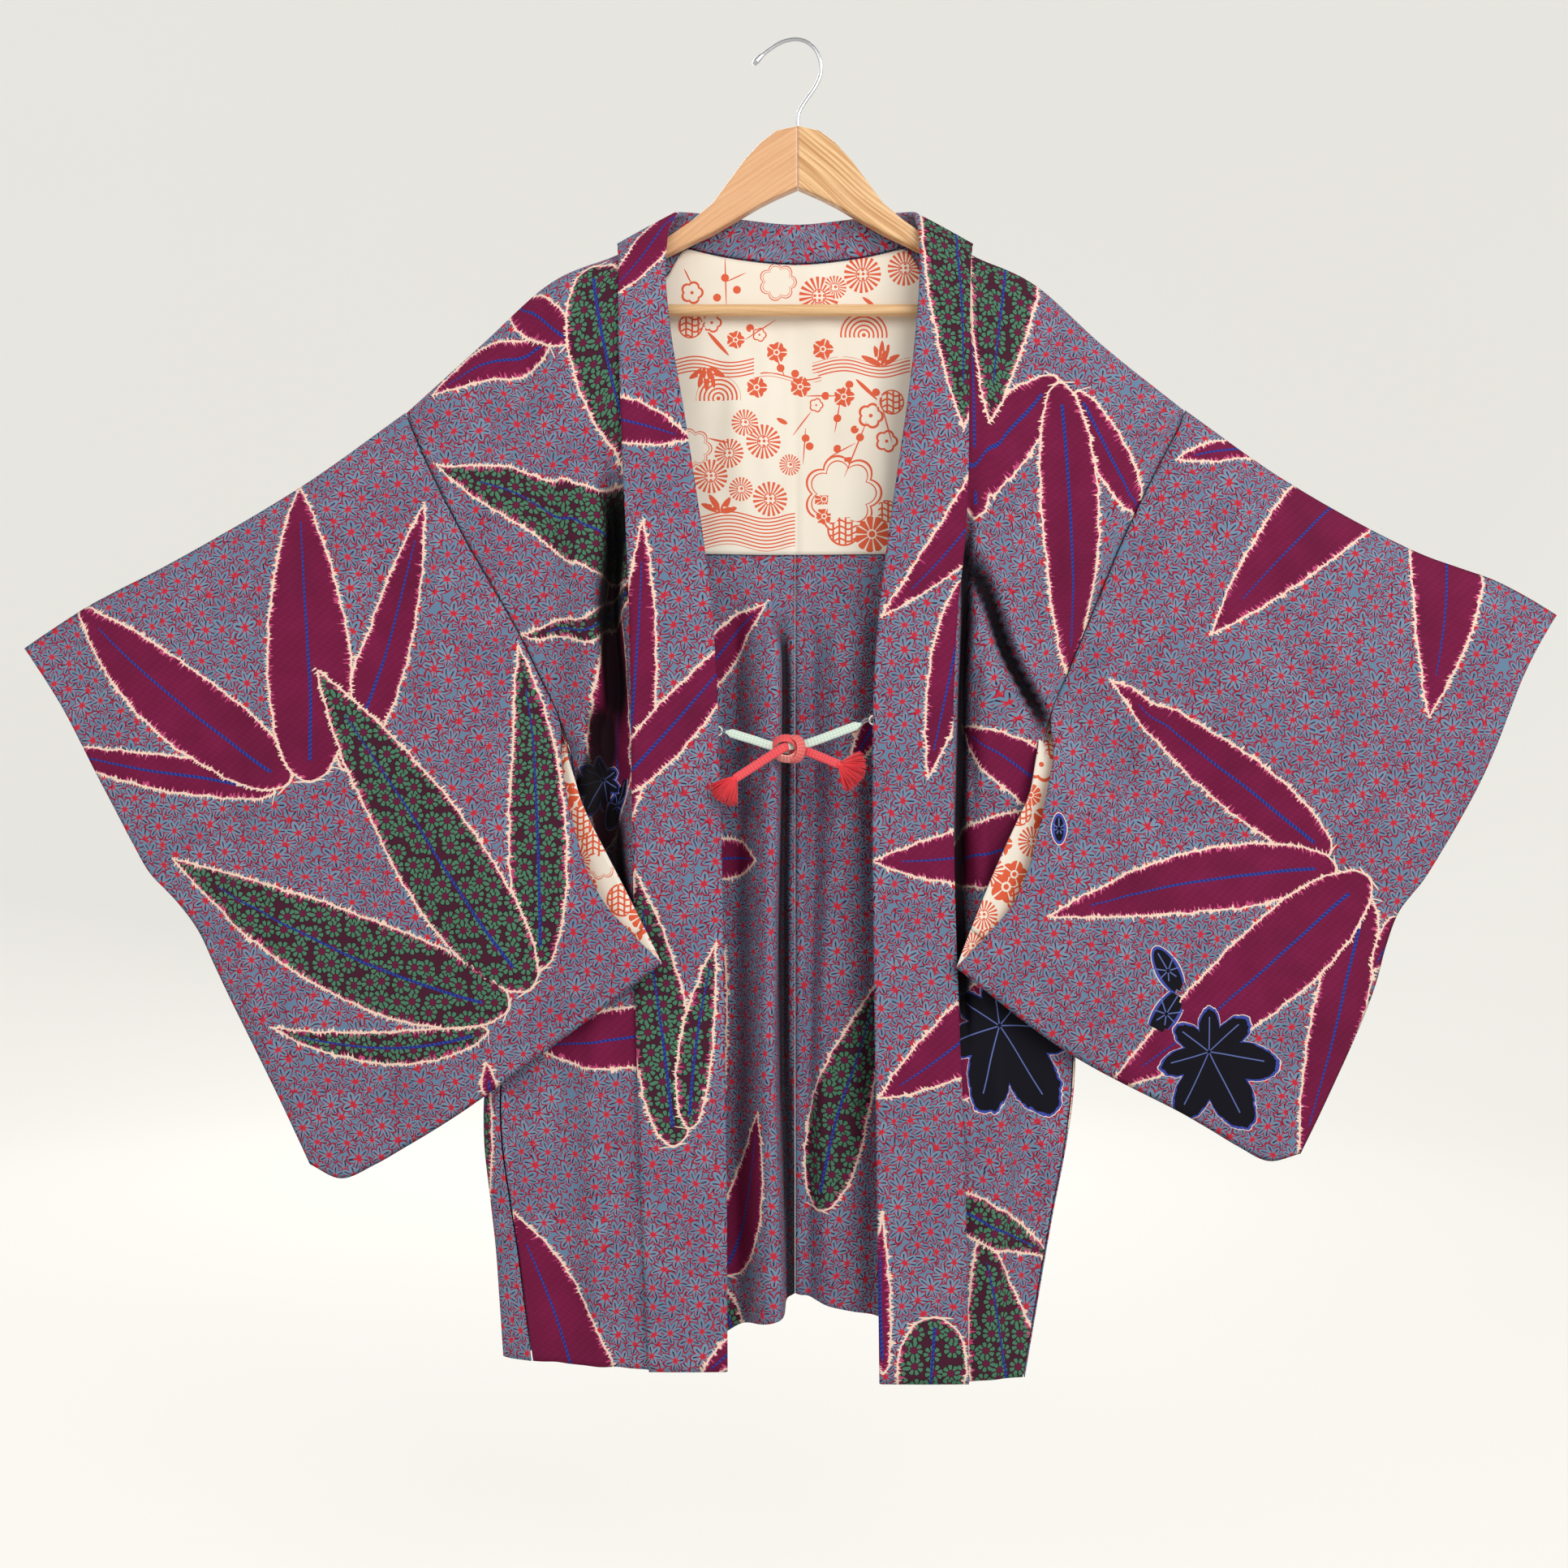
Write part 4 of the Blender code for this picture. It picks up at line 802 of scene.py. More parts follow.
def in_motif(flat, row):
    """Each corner's X and Z from the motif, its radius and its kind or turn."""
    local = flat - np.array(row[:2], float)
    return with_sizes(local, row), 1 - np.linalg.norm(local.mean(axis=1), axis=1) / row[2]


def in_stream(flat, row):
    """Each corner's X and Z from the stream's middle and half its two sizes."""
    local = flat - np.array(row[:2], float)
    return with_sizes(local, row), -(np.abs(local.mean(axis=1)) / row[2:]).max(axis=1)


def with_sizes(local, row):
    return np.concatenate([local, np.broadcast_to(row[2:], local.shape).astype(float)], -1)


def deepest(flat, rows, measure, none, least):
    """For each face, the four values at its corners of the motif that it lies deepest
    in. A face that lies less deep than the least takes the values of none."""
    values = np.zeros(flat.shape[:2] + (4,))
    values[...] = (FAR, FAR) + none
    best = np.full(len(flat), least)
    for row in rows:
        local, depth = measure(flat, row)
        nearer = depth > best
        values[nearer] = local[nearer]
        best[nearer] = depth[nearer]
    return values


def scattered(flat):
    """Lining motifs on an uneven grid, for the linings that show as strips only."""
    random = np.random.default_rng(SCATTER["seed"])
    step, jitter = SCATTER["step"], SCATTER["jitter"]
    low, high = flat.reshape(-1, 2).min(axis=0), flat.reshape(-1, 2).max(axis=0)
    kinds = (1, 2, 8, 1, 3, 5, 2, 7)
    found = []
    for row, z in enumerate(np.arange(low[1], high[1] + step, step * 0.8)):
        for column, x in enumerate(np.arange(low[0], high[0] + step, step)):
            shift = random.uniform(-jitter, jitter, 2)
            kind = kinds[int(random.integers(len(kinds)))]
            radius = random.uniform(8.0, 14.0)
            found.append((x + shift[0] + (row % 2) * step / 2, z + shift[1], radius, kind))
    return found


def chart_layer(flat, layer, chart):
    """The values of one printed layer at the corners of the given faces."""
    if layer in ("motif", "maple"):
        if layer == "maple":
            rows = [row[:3] + (math.radians(row[3]),) for row in MAPLES.get(chart, [])]
        elif chart == "lining":
            rows = [row + (kind,) for kind, kept in LINING_MOTIFS.items() for row in kept]
        else:
            rows = scattered(flat)
        return deepest(flat, rows, in_motif, (10.0, 0.0), -1e9)
    if layer == "stream":
        rows = LINING_STREAMS if chart == "lining" else []
        return deepest(flat, rows, in_stream, (1.0, 1.0), -1.6)
    if layer == "spray":
        rows = [row + (0.0,) for row in LINING_SPRAYS] if chart == "lining" else []
    else:
        rows = LEAVES.get(chart, {}).get(layer, [])
    return deepest(flat, rows, in_leaf, (10.0, 100.0), -60.0)

# ------------------------------------------------------------------- node arithmetic

def rgb(code):
    """The linear colour of a code such as #7E9DC4."""
    parts = [int(code[i:i + 2], 16) / 255 for i in (1, 3, 5)]
    return tuple(c / 12.92 if c <= 0.04045 else ((c + 0.055) / 1.055) ** 2.4
                 for c in parts) + (1.0,)


class Value:
    """A number or colour in a node tree, worked with ordinary signs."""

    def __init__(self, tree, socket):
        self.tree, self.socket = tree, socket

    def math(self, operation, *others):
        node = self.tree.nodes.new("ShaderNodeMath")
        node.operation = operation
        for socket, value in zip(node.inputs, (self,) + others):
            feed(socket, value)
        return Value(self.tree, node.outputs[0])

    def __abs__(self):
        return self.math("ABSOLUTE")

    def near(self, other, within):
        return self.math("COMPARE", other, within)

    def between(self, low, high):
        return (self > low) * (self < high)

    def zigzag(self, count):
        """0 in the middle of each of count sectors of a turn, 1 between them. The value
        is an angle."""
        return (self * (count / (2 * math.pi))).math("PINGPONG", 0.5) * 2.0


for sign, operation in dict(add="ADD", sub="SUBTRACT", mul="MULTIPLY", truediv="DIVIDE",
                            pow="POWER", lt="LESS_THAN", gt="GREATER_THAN").items():
    setattr(Value, f"__{sign}__",
            lambda self, other, operation=operation: self.math(operation, other))


def feed(socket, value):
    if isinstance(value, Value):
        value.tree.links.new(value.socket, socket)
    else:
        socket.default_value = value


def vector(x, y, z=0.0):
    node = x.tree.nodes.new("ShaderNodeCombineXYZ")
    for socket, value in zip(node.inputs, (x, y, z)):
        feed(socket, value)
    return Value(x.tree, node.outputs[0])


def split(made):
    node = made.tree.nodes.new("ShaderNodeSeparateXYZ")
    feed(node.inputs[0], made)
    return [Value(made.tree, output) for output in node.outputs]


def attribute(tree, name):
    """The four numbers that a mesh keeps at each corner under this name."""
    node = tree.nodes.new("ShaderNodeAttribute")
    node.attribute_name = name
    return split(Value(tree, node.outputs["Vector"])) + [Value(tree, node.outputs["Alpha"])]


def polar(x, y):
    return (x * x + y * y) ** 0.5, y.math("ARCTAN2", x)


def noise(x, y, size, detail=2.0, z=0.0):
    node = x.tree.nodes.new("ShaderNodeTexNoise")
    feed(node.inputs["Vector"], vector(x, y, z))
    node.inputs["Scale"].default_value = 1 / size
    node.inputs["Detail"].default_value = detail
    return Value(x.tree, node.outputs[0])


def cells(x, y, spacing, randomness):
    """Scattered cells: each point's place from its cell's centre and the cell's random
    numbers."""
    node = x.tree.nodes.new("ShaderNodeTexVoronoi")
    node.voronoi_dimensions = "2D"
    feed(node.inputs["Vector"], vector(x, y))
    node.inputs["Scale"].default_value = 1 / spacing
    node.inputs["Randomness"].default_value = randomness
    centre_x, centre_y, _ = split(Value(x.tree, node.outputs["Position"]))
    return x - centre_x, y - centre_y, split(Value(x.tree, node.outputs["Color"]))


def blend(share, under, over):
    """One colour over another where the share is 1."""
    node = share.tree.nodes.new("ShaderNodeMix")
    node.data_type = "RGBA"
    feed(node.inputs[0], share)
    for socket, colour in ((node.inputs[6], under), (node.inputs[7], over)):
        feed(socket, rgb(colour) if isinstance(colour, str) else colour)
    return Value(share.tree, node.outputs[2])


def new_material(name, roughness, **uniform):
    """A material with one Principled shader, and its tree."""
    made = bpy.data.materials.new(name)
    made.use_nodes = True
    shader = made.node_tree.nodes["Principled BSDF"]
    shader.inputs["Roughness"].default_value = roughness
    for socket, value in uniform.items():
        shader.inputs[socket.replace("_", " ")].default_value = value
    return made, made.node_tree


def surfaced(made, colour, height=None, depth=0.0):
    """The material with its colour and, where a height of 0 to 1 is given, raised by that
    share of the depth in mm."""
    tree = made.node_tree
    shader = tree.nodes["Principled BSDF"]
    feed(shader.inputs["Base Color"], colour)
    if height is not None:
        bump = tree.nodes.new("ShaderNodeBump")
        bump.inputs["Strength"].default_value = 1.0
        bump.inputs["Distance"].default_value = depth * MM
        feed(bump.inputs["Height"], height)
        tree.links.new(bump.outputs[0], shader.inputs["Normal"])
    return made


def object_place(tree):
    """A point's X, Y and Z in its object."""
    node = tree.nodes.new("ShaderNodeTexCoord")
    return split(Value(tree, node.outputs["Object"]))

# -------------------------------------------------------------------- printed fabrics

MAPLE_STEP = 18.6         # spacing of the small maple leaves
MAPLE_LEAF = 10.0          # their radius
FLOWER_STEP = 12.4        # spacing of the small flowers in the dark leaves
GROUND = dict(leaf="#7590A9", shade="#64809B", line="#951F37", vein="#331E36",
              star="#C02B3B")
DARK = dict(ground="#45192C", eye="#621B3B", petal="#4A7A5F", rim="#1A1019")
PAINTED_SHADE_COLOUR = "#0A0508"        # painted shade: the dark colour laid into the depth of the deepest folds
WINE = dict(ground="#6C123A", lit="#7E1A48", shade="#4C0C2A")
EDGE = dict(cream="#F1D3BE", fringe="#BE4A76")
VEIN = dict(rope="#202C80", twist="#3A519F")
BLACK = dict(ground="#090814", edge="#3A49A0", vein="#5E6CA8", rim="#E8CDC0")


def small_maple(u, v, under):
    """One scattering of blue maple leaves over a colour: winding wine-red outlines, dark
    strokes in the lobes and red stars."""
    x, y, (turn, size, tone) = cells(u, v, MAPLE_STEP, 0.42)
    r, angle = polar(x, y)
    angle = angle + (turn - 0.5) * 0.8
    lobe = angle.zigzag(7)
    arc = r * lobe * (math.pi / 7)
    rim = (lobe ** 1.5 * -0.47 + 1.0) * (size * 0.12 + angle.math("SINE") * 0.1 + 0.9)
    inside = rim * MAPLE_LEAF - r
    leaf = blend(tone, GROUND["leaf"], GROUND["shade"])
    colour = blend(inside > -0.7, under, GROUND["line"])
    colour = blend(inside > 0.75, colour, leaf)
    colour = blend((arc < 0.45) * r.between(3.0, 7.2), colour, GROUND["vein"])
    star = (arc - (r * -0.24 + 1.1)) < 0.0
    return blend(star.math("MAXIMUM", r < 1.3), colour, GROUND["star"])


def small_maples(u, v):
    """The ground: two scatterings of small maple leaves, one over the other."""
    u, v = (start + (noise(u, v, 16.0, 0.0, z=level) - 0.5) * 6.0
            for start, level in ((u, 0.0), (v, 40.0)))
    return small_maple(u, v, small_maple(u + 9.3, v + 9.3, GROUND["shade"]))


def small_flowers(u, v):
    """The dark leaves' filling: green petals round wine-red eyes."""
    x, y, (turn, size, tone) = cells(u, v, FLOWER_STEP, 0.5)
    r, angle = polar(x, y)
    petal = (angle + turn * 3.0).zigzag(8)
    arc = r * petal * (math.pi / 8)
    spread = ((r - 4.7) / 1.9) ** 4.0 + (arc / (r * 0.24 + 0.2)) ** 4.0
    colour = blend(spread < 2.4, DARK["ground"], DARK["rim"])
    colour = blend(spread < 0.9, colour, DARK["petal"])
    return blend(r < 2.6, colour, DARK["eye"])


def plain_wine(u, v):
    """The wine leaves' filling, with faint lines in its weave."""
    cloud = noise(u, v, 26.0)
    weave = (u * 0.9 + v * 0.35).math("SINE") * (v * 1.3).math("SINE") * 0.25
    colour = blend((cloud - 0.35) * 1.6 + weave, WINE["ground"], WINE["lit"])
    return blend((noise(u, v, 60.0) - 0.5) * 1.4, colour, WINE["shade"])


def bamboo_leaf(tree, layer, under, filling):
    """A long pointed leaf over the cloth: ragged cream edge, pink fringe, filling and a
    twisted blue vein."""
    along, across, half_width, length = attribute(tree, layer)
    t = (along / length).math("MAXIMUM", 0.002).math("MINIMUM", 0.998)
    rest = t * -1.0 + 1.0
    swell = t ** 0.5 * rest ** 0.9 * half_width * 2.49
    slope = swell * (t ** -1.0 * 0.5 - rest ** -1.0 * 0.9) / length
    beyond = (along - length).math("MAXIMUM", along * -1.0).math("MAXIMUM", 0.0)
    inside = (swell - abs(across)) / (slope * slope + 1.0) ** 0.5 - beyond
    side = across.math("SIGN") * 40.0
    drift = (noise(along + side, along * 0.0, 14.0, 2.0) - 0.5) * 5.0
    out, into, deep = ((noise(along + side + start, across * 0.1, 1.5, 1.0) - 0.47)
                       .math("MAXIMUM", 0.0) * reach
                       for start, reach in ((0.0, 12.0), (300.0, 12.0), (600.0, 17.0)))
    edge = inside + drift
    colour = blend((edge + out) > 0.0, under, EDGE["cream"])
    colour = blend((edge - into) > 1.1, colour, EDGE["fringe"])
    colour = blend((edge - deep) > 1.6, colour, filling)
    rope = (abs(across) < (rest ** 0.5 * 1.25)) * t.between(0.07, 0.86) * (edge > 5.0)
    twist = (along * 1.9 + across * 1.4).math("SINE") > 0.45
    return blend(rope, colour, blend(twist * 0.7, VEIN["rope"], VEIN["twist"]))


def dark_maple(tree, under):
    """A large black maple leaf, its longest lobe in one direction, or a bud, with a double
    blue edge and pale veins."""
    x, y, radius, turn = attribute(tree, "maple")
    r, angle = polar(x, y)
    bud = turn > 10.0
    off = angle - turn
    facing = off.math("COSINE") * 0.5 + 0.5
    lobe = off.zigzag(7)
    size = facing ** 2.0 * 0.5 + 0.5
    teeth = noise(angle * 9.0, r * 0.1, 1.0, 2.0) - 0.5
    leaf = (lobe ** 1.5 * -0.42 + 1.0 + teeth * 0.14) * size * radius
    slim = (off.math("SINE") ** 2.0 * 5.0 + 1.0) ** -0.5 * radius
    inside = leaf + (slim - leaf) * bud - r
    colour = blend(inside > -2.3, under, BLACK["rim"])
    colour = blend(inside > -1.5, colour, BLACK["edge"])
    colour = blend(inside > 0.9, colour, BLACK["ground"])
    arc = r * lobe * (math.pi / 7)
    vein = (arc < 0.45) * (r < size * radius * 0.8) * (r > 1.5)
    return blend(vein, colour, BLACK["vein"])


def printed_crepe():
    """The outer cloth: crepe printed with large leaves over small ones, with painted shade in its
    deepest folds.
    """
    made, tree = new_material("printed_crepe", 0.8, Specular_IOR_Level=0.16)
    u, v, painted_shade, _ = attribute(tree, "flat")
    colour = small_maples(u, v)
    wine, flowers = plain_wine(u, v), small_flowers(u, v)
    for layer, filling in (("wine_a", wine), ("wine_b", wine), ("wine_c", wine),
                           ("dark_a", flowers), ("dark_b", flowers)):
        colour = bamboo_leaf(tree, layer, colour, filling)
    # Painted shade: the cloth in the deepest folds turns near-black.
    colour = blend(painted_shade, dark_maple(tree, colour), PAINTED_SHADE_COLOUR)
    crepe = noise(u, v * 0.8, 0.45, 2.0) + noise(u, v, 7.0, 3.0) * 2.0
    return surfaced(made, colour, crepe, 0.07)


LINING = dict(cream="#EADFCC", orange="#DD5A33", pale="#F3EBDD")


def lining_motif(tree, under):
    """Rayed chrysanthemums, plum blossom, berries, netted balls, ripples and clouds."""
    x, y, radius, kind = attribute(tree, "motif")
    r, angle = polar(x, y)
    share = r / radius
    five = (angle.zigzag(5) ** 2.0) * -0.22 + 1.0
    ray = angle.zigzag(19) < 0.52
    dots = cells(x, y, 3.4, 0.2)
    dot = polar(dots[0], dots[1])[0] < 1.15
    edge = share.near(1.0, 0.06)
    daisy = (angle.zigzag(11) ** 2.0) * -0.12 + 0.98
    wave = (y + (x * 0.5).math("SINE") * 1.2)
    scallop = (angle.zigzag(7) ** 2.0 * -0.2 + 1.0)
    drawn = {
        1: ray * share.between(0.38, 1.0) + (share < 0.3) * dot + share.near(0.34, 0.03),
        2: (share < five) * (share > 0.3) * (angle.zigzag(5) > 0.12)
           + (share < 0.17),
        3: (share - five).near(0.0, 0.11) + (share < 0.16),
        4: share < 1.0,
        5: (share < 1.0) * ((x * 1.35).math("SINE").math("MAXIMUM", (wave * 1.35).math("SINE"))
                            > 0.55) + edge,
        6: (share < 1.0) * (y > -2.0) * ((r * 1.9).math("SINE") > 0.25),
        7: ((share - scallop).near(0.0, 0.03) + (share - scallop + 0.13).near(0.0, 0.018)),
        8: (share < daisy) * (share > 0.26) * (angle.zigzag(11) < 0.78) + (share < 0.18),
    }
    mask = None
    for number, shape in drawn.items():
        here = shape * kind.near(float(number), 0.3)
        mask = here if mask is None else mask + here
    return blend(mask.math("MINIMUM", 1.0), under, LINING["orange"])


def lining_lines(tree, under):
    """Bamboo sprays and twigs, and bands of running water."""
    along, across, half_width, length = attribute(tree, "spray")
    t = (along / length).math("MAXIMUM", 0.002).math("MINIMUM", 0.998)
    swell = t ** 0.5 * (t * -1.0 + 1.0) ** 0.6 * half_width * 2.1
    beyond = (along - length).math("MAXIMUM", along * -1.0).math("MAXIMUM", 0.0)
    colour = blend((swell - abs(across) - beyond) > 0.0, under, LINING["orange"])
    x, y, half_length, half_height = attribute(tree, "stream")
    flow = y + (x / 9.0).math("SINE") * 2.5
    inside = (abs(x) < half_length) * (abs(flow) < half_height)
    return blend(inside * ((flow * 2.3).math("SINE") > 0.35), colour, LINING["orange"])


def printed_lining():
    made, tree = new_material("printed_lining", 0.6, Specular_IOR_Level=0.35,
                              Sheen_Weight=0.05)
    u, v, _, _ = attribute(tree, "flat")
    ground = blend(noise(u, v, 45.0), LINING["cream"], LINING["pale"])
    colour = lining_motif(tree, lining_lines(tree, ground))
    weave = noise(u * 3.0, v * 0.7, 0.7, 2.0) + noise(u, v, 16.0, 2.0) * 3.0
    return surfaced(made, colour, weave, 0.05)

# --------------------------------------------------------------------------- tied cord

BRAID = dict(width=6.5, thickness=2.2, step=0.9, ribs=3, around=26)
KNOT = (-5.0, -27.6, -532.0)   # its centre
CORD_ROUTES = {
    # from the loop on one side, behind or through the knot, to the tassel on the other
    "himo_from_left": [
        (-51.5, -27.3, -519.2), (-46, -27.8, -520.6), (-39, -28.2, -522.8), (-31, -28.4, -525.2),
        (-24, -28.4, -527.6), (-17, -27.6, -529.8), (-10, -26.2, -531.6), (-3, -25.6, -532.4),
        (3, -26.2, -532.8), (8, -28.2, -533.8), (14, -30.4, -535.9), (20, -32, -538.4),
        (26, -33.6, -540.9), (30.5, -34.6, -542.8), (33, -35.2, -543.8)],
    "himo_from_right": [
        (48.4, -27.2, -513.4), (43, -27.6, -515.4), (36, -28, -518), (28, -28.2, -521),
        (20, -28.2, -524), (12, -27.8, -526.8), (6, -27.2, -528.6), (0, -27.6, -529.2),
        (-4.5, -29.8, -529.6), (-8.5, -32.4, -531), (-14, -33.2, -534.2), (-21, -33.4, -538.7),
        (-28, -33.8, -543.2), (-35, -34.4, -547.8), (-41, -35, -551.6), (-45, -35.4, -554.2)],
}
KNOT_BANDS = {
    # points from the knot's centre: right, back, up
    "top": [(-10.5, 1, 1), (-10.6, -1.2, 4), (-7.6, -2.8, 7), (-3, -3.6, 8.1), (2.4, -3.6, 7.2),
            (6.2, -3, 3.8), (7.6, -1.6, -0.6)],
    "foot": [(-9.6, 0.8, -2.2), (-8.8, -1.6, -4.8), (-4.7, -3, -6.7), (0.4, -3.4, -7.2),
             (4.8, -3, -5.4), (7.4, -1.6, -2)],
    "side": [(2.6, 0.6, 9.2), (4.2, -3, 9.2), (7.8, -5.2, 6.2), (9.2, -5.8, 0.6), (8, -5.4, -5.2),
             (5.2, -3.4, -8.6), (2.8, 0, -9.4)],
}
KNOT_COLOURS = dict(top="#EE5C5E", side="#F07A74", foot="#F3A79C")
TASSELS = {
    # end of the tail, direction, half angle of the fan
    "left": ((-45.0, -35.4, -554.2), (-0.60, -0.80), 0.66),
    "right": ((33.0, -35.2, -543.8), (0.93, -0.36), 0.95),
}
FLOSS = dict(strands=170, rings=7, sides=3, reach=19.5)
BINDING = dict(rings=9, sides=16, start=-2.6, end=1.2)   # the thread round a tassel's root
LOOP_SPOTS = {"left": (-57.0, -27.2, -518.6), "right": (57.4, -27.0, -510.6)}
# Points from a loop's spot: toward the middle, back, up
SEWN_LOOP = [(-1.2, 0, 3.2), (1.6, -0.4, 2.8), (3.1, -0.6, 0), (1.7, -0.4, -2.8),
             (-1.2, 0, -3.2)]
CORD_LOOP = [(4.4, 0.9, 1.3), (1.9, 1, -0.1), (2.4, -1.6, -0.4), (4.8, -0.9, -1.2)]
LOOP_END = (0.8, 0.5, 0.5)   # from the cord's end to where its own loop starts and ends
THREAD = dict(sewn=0.62, cord=0.42)   # half their thickness


def smooth_path(points, step):
    """Evenly spaced points on the smooth curve through the given ones."""
    rows = np.array(points, float)
    return even(rows, max(2, int(travel(rows)[-1] / step)))


def sweep(name, path, facing, section, made_of, change=math.inf):
    """A tube along the path. section gives, at a share of its length, the outline as
    (sideways, outward) pairs; facing gives the outward direction at a point. Past the
    length called change it is made of the second material."""
    tangent = np.gradient(path, axis=0)
    tangent /= np.linalg.norm(tangent, axis=1, keepdims=True)
    lengths = travel(path)
    points, marks = [], []
    for index, (point, along) in enumerate(zip(path, tangent)):
        outward = np.asarray(facing(point), float)
        outward = outward - along * np.dot(outward, along)
        outward /= np.linalg.norm(outward)
        sideways = np.cross(along, outward)
        outline = section(lengths[index] / lengths[-1], lengths[-1])
        points.append(point + outline[:, :1] * sideways + outline[:, 1:] * outward)
        marks.append(np.stack([np.full(len(outline), lengths[index]), outline[:, 0]], axis=1))
    faces = tube_faces(0, len(points), len(points[0]))
    marks = np.concatenate(marks)
    mesh = solid_mesh(name, np.concatenate(points), faces, marks, made_of)
    mesh.polygons.foreach_set("material_index",
                              [int(marks[face[0], 0] > change) for face in faces])
    return linked(name, mesh)


def tube_faces(first, rings, around):
    """The faces of a closed tube whose points lie ring after ring, from this number on."""
    index = first + np.arange(rings * around).reshape(rings, around)
    turned = np.roll(index, -1, axis=1)
    quads = np.stack([index[:-1], turned[:-1], turned[1:], index[1:]], axis=-1).reshape(-1, 4)
    return quads.tolist() + [index[0, ::-1].tolist(), index[-1].tolist()]


def solid_mesh(name, points, faces, marks, made_of):
    """A smooth mesh that keeps the two marks of each point at its corners."""
    mesh = bpy.data.meshes.new(name)
    mesh.from_pydata((np.array(points) * MM).tolist(), [], faces)
    mesh.shade_smooth()
    for material in made_of:
        mesh.materials.append(material)
    values = np.array(marks)[np.concatenate(faces)]
    add_corners(mesh, "flat", np.pad(values, ((0, 0), (0, 1))), "FLOAT_VECTOR", "vector")
    return mesh


def braid_outline(width):
    """A flat braid's section: rounded edges and a few ribs along each face."""
    half, thick = width / 2, BRAID["thickness"] / 2
    angle = np.linspace(0, 2 * math.pi, BRAID["around"], endpoint=False)
    across = np.cos(angle)
    ribs = 1.0 + 0.10 * np.cos(across * math.pi * BRAID["ribs"])
    lift = np.sign(np.sin(angle)) * np.abs(np.sin(angle)) ** 0.6
    return np.stack([across * half, lift * thick * ribs], axis=1)


def make_cord(name, made_of):
    """One half of the cord, white as far as the knot and coral beyond it."""
    path = smooth_path(CORD_ROUTES[name], BRAID["step"])
    in_knot = np.argmin(np.abs(path[:, 0] - KNOT[0]))

    def section(share, length):
        run = share * length
        narrow = 0.32 + 0.68 * smoothstep(run / 5.0) - 0.22 * smoothstep((run - length + 2.0) / 2.0)
        return braid_outline(BRAID["width"] * narrow)

    made = sweep(name, path, lambda point: (0.0, -1.0, 0.0), section, made_of,
                 travel(path)[in_knot])
    return made, [tuple(point * MM) for point in path]


def make_knot(made_of):
    """Three ribbed bands that wrap the crossing."""
    centre = np.array(KNOT)

    def outward(point):
        away = point - centre
        return (away[0] * 0.07, -1.0 + 0.12 * max(away[1] + 5.0, 0.0), away[2] * 0.10)

    def section(share, length):
        return braid_outline(BRAID["width"] * (1.0 + 0.12 * math.sin(math.pi * share)))

    return [sweep("himo_knot_" + name, smooth_path(centre + points, BRAID["step"] * 0.7),
                  outward, section, [made_of[name]])
            for name, points in KNOT_BANDS.items()]


def make_tassel(side, made_of):
    """Loose floss that spreads from the end of a tail, bound by a few turns of thread."""
    end, way, spread = TASSELS[side]
    random = np.random.default_rng(len(side))
    end = np.array(end)
    ahead = np.array([way[0], 0.0, way[1]])
    ahead /= np.linalg.norm(ahead)
    sideways = np.array([-ahead[2], 0.0, ahead[0]])
    points, faces, marks = [], [], []

    def add_ring(centre, half_width, half_depth, sides, mark):
        for angle in np.linspace(0, 2 * math.pi, sides, endpoint=False):
            points.append(centre + sideways * math.cos(angle) * half_width
                          + np.array([0.0, math.sin(angle) * half_depth, 0.0]))
            marks.append(mark)

    for number in range(FLOSS["strands"]):
        place = 2 * (number + random.uniform(0.2, 0.8)) / FLOSS["strands"] - 1
        depth = random.uniform(-1.0, 1.0)
        angle = spread * place * random.uniform(0.9, 1.05)
        reach = FLOSS["reach"] * (1 - 0.10 * place * place) * random.uniform(0.88, 1.03)
        radius = random.uniform(0.34, 0.5)
        tone = random.uniform(0.0, 1.0)
        curl = random.uniform(-1.6, 1.6)
        root = end + sideways * place * 1.9 + np.array([0.0, depth * 0.9, 0.0]) - ahead * 1.0
        heading = ahead * math.cos(angle) + sideways * math.sin(angle)
        faces += tube_faces(len(points), FLOSS["rings"], FLOSS["sides"])
        for share in np.linspace(0.0, 1.0, FLOSS["rings"]):
            bend = sideways * (place * 1.5 * share * (1 - share) + curl * share ** 3 * 0.5)
            bulge = depth * 2.4 * share ** 0.7 - 1.2 * share
            droop = -1.4 * share ** 2
            size = radius * (1.0 - 0.35 * share ** 3)
            add_ring(root + heading * reach * share + bend + np.array([0.0, bulge, droop]),
                     size, size, FLOSS["sides"], (share * reach, tone * 10.0))
    faces += tube_faces(len(points), BINDING["rings"], BINDING["sides"])
    places = np.linspace(BINDING["start"], BINDING["end"], BINDING["rings"])
    for level, place in enumerate(places):
        size = 1.9 + 0.25 * (level % 2) + 0.5 * max(0.0, level - 6)
        add_ring(end + ahead * place, size, size * 0.75, BINDING["sides"], (place, 4.0))
    name = "tassel_" + side
    return linked(name, solid_mesh(name, points, faces, marks, [made_of]))


def thread(name, points, radius, made_of):
    """A smooth round thread through the points."""
    curve = bpy.data.curves.new(name, "CURVE")
    curve.dimensions = "3D"
    curve.bevel_depth = radius * MM
    curve.bevel_resolution = 2
    curve.resolution_u = 6
    curve.use_fill_caps = True
    spline = curve.splines.new("BEZIER")
    spline.bezier_points.add(len(points) - 1)
    for spot, point in zip(spline.bezier_points, points):
        spot.co = [value * MM for value in point]
        spot.handle_left_type = spot.handle_right_type = "AUTO"
    curve.materials.append(made_of)
    return linked(name, curve)


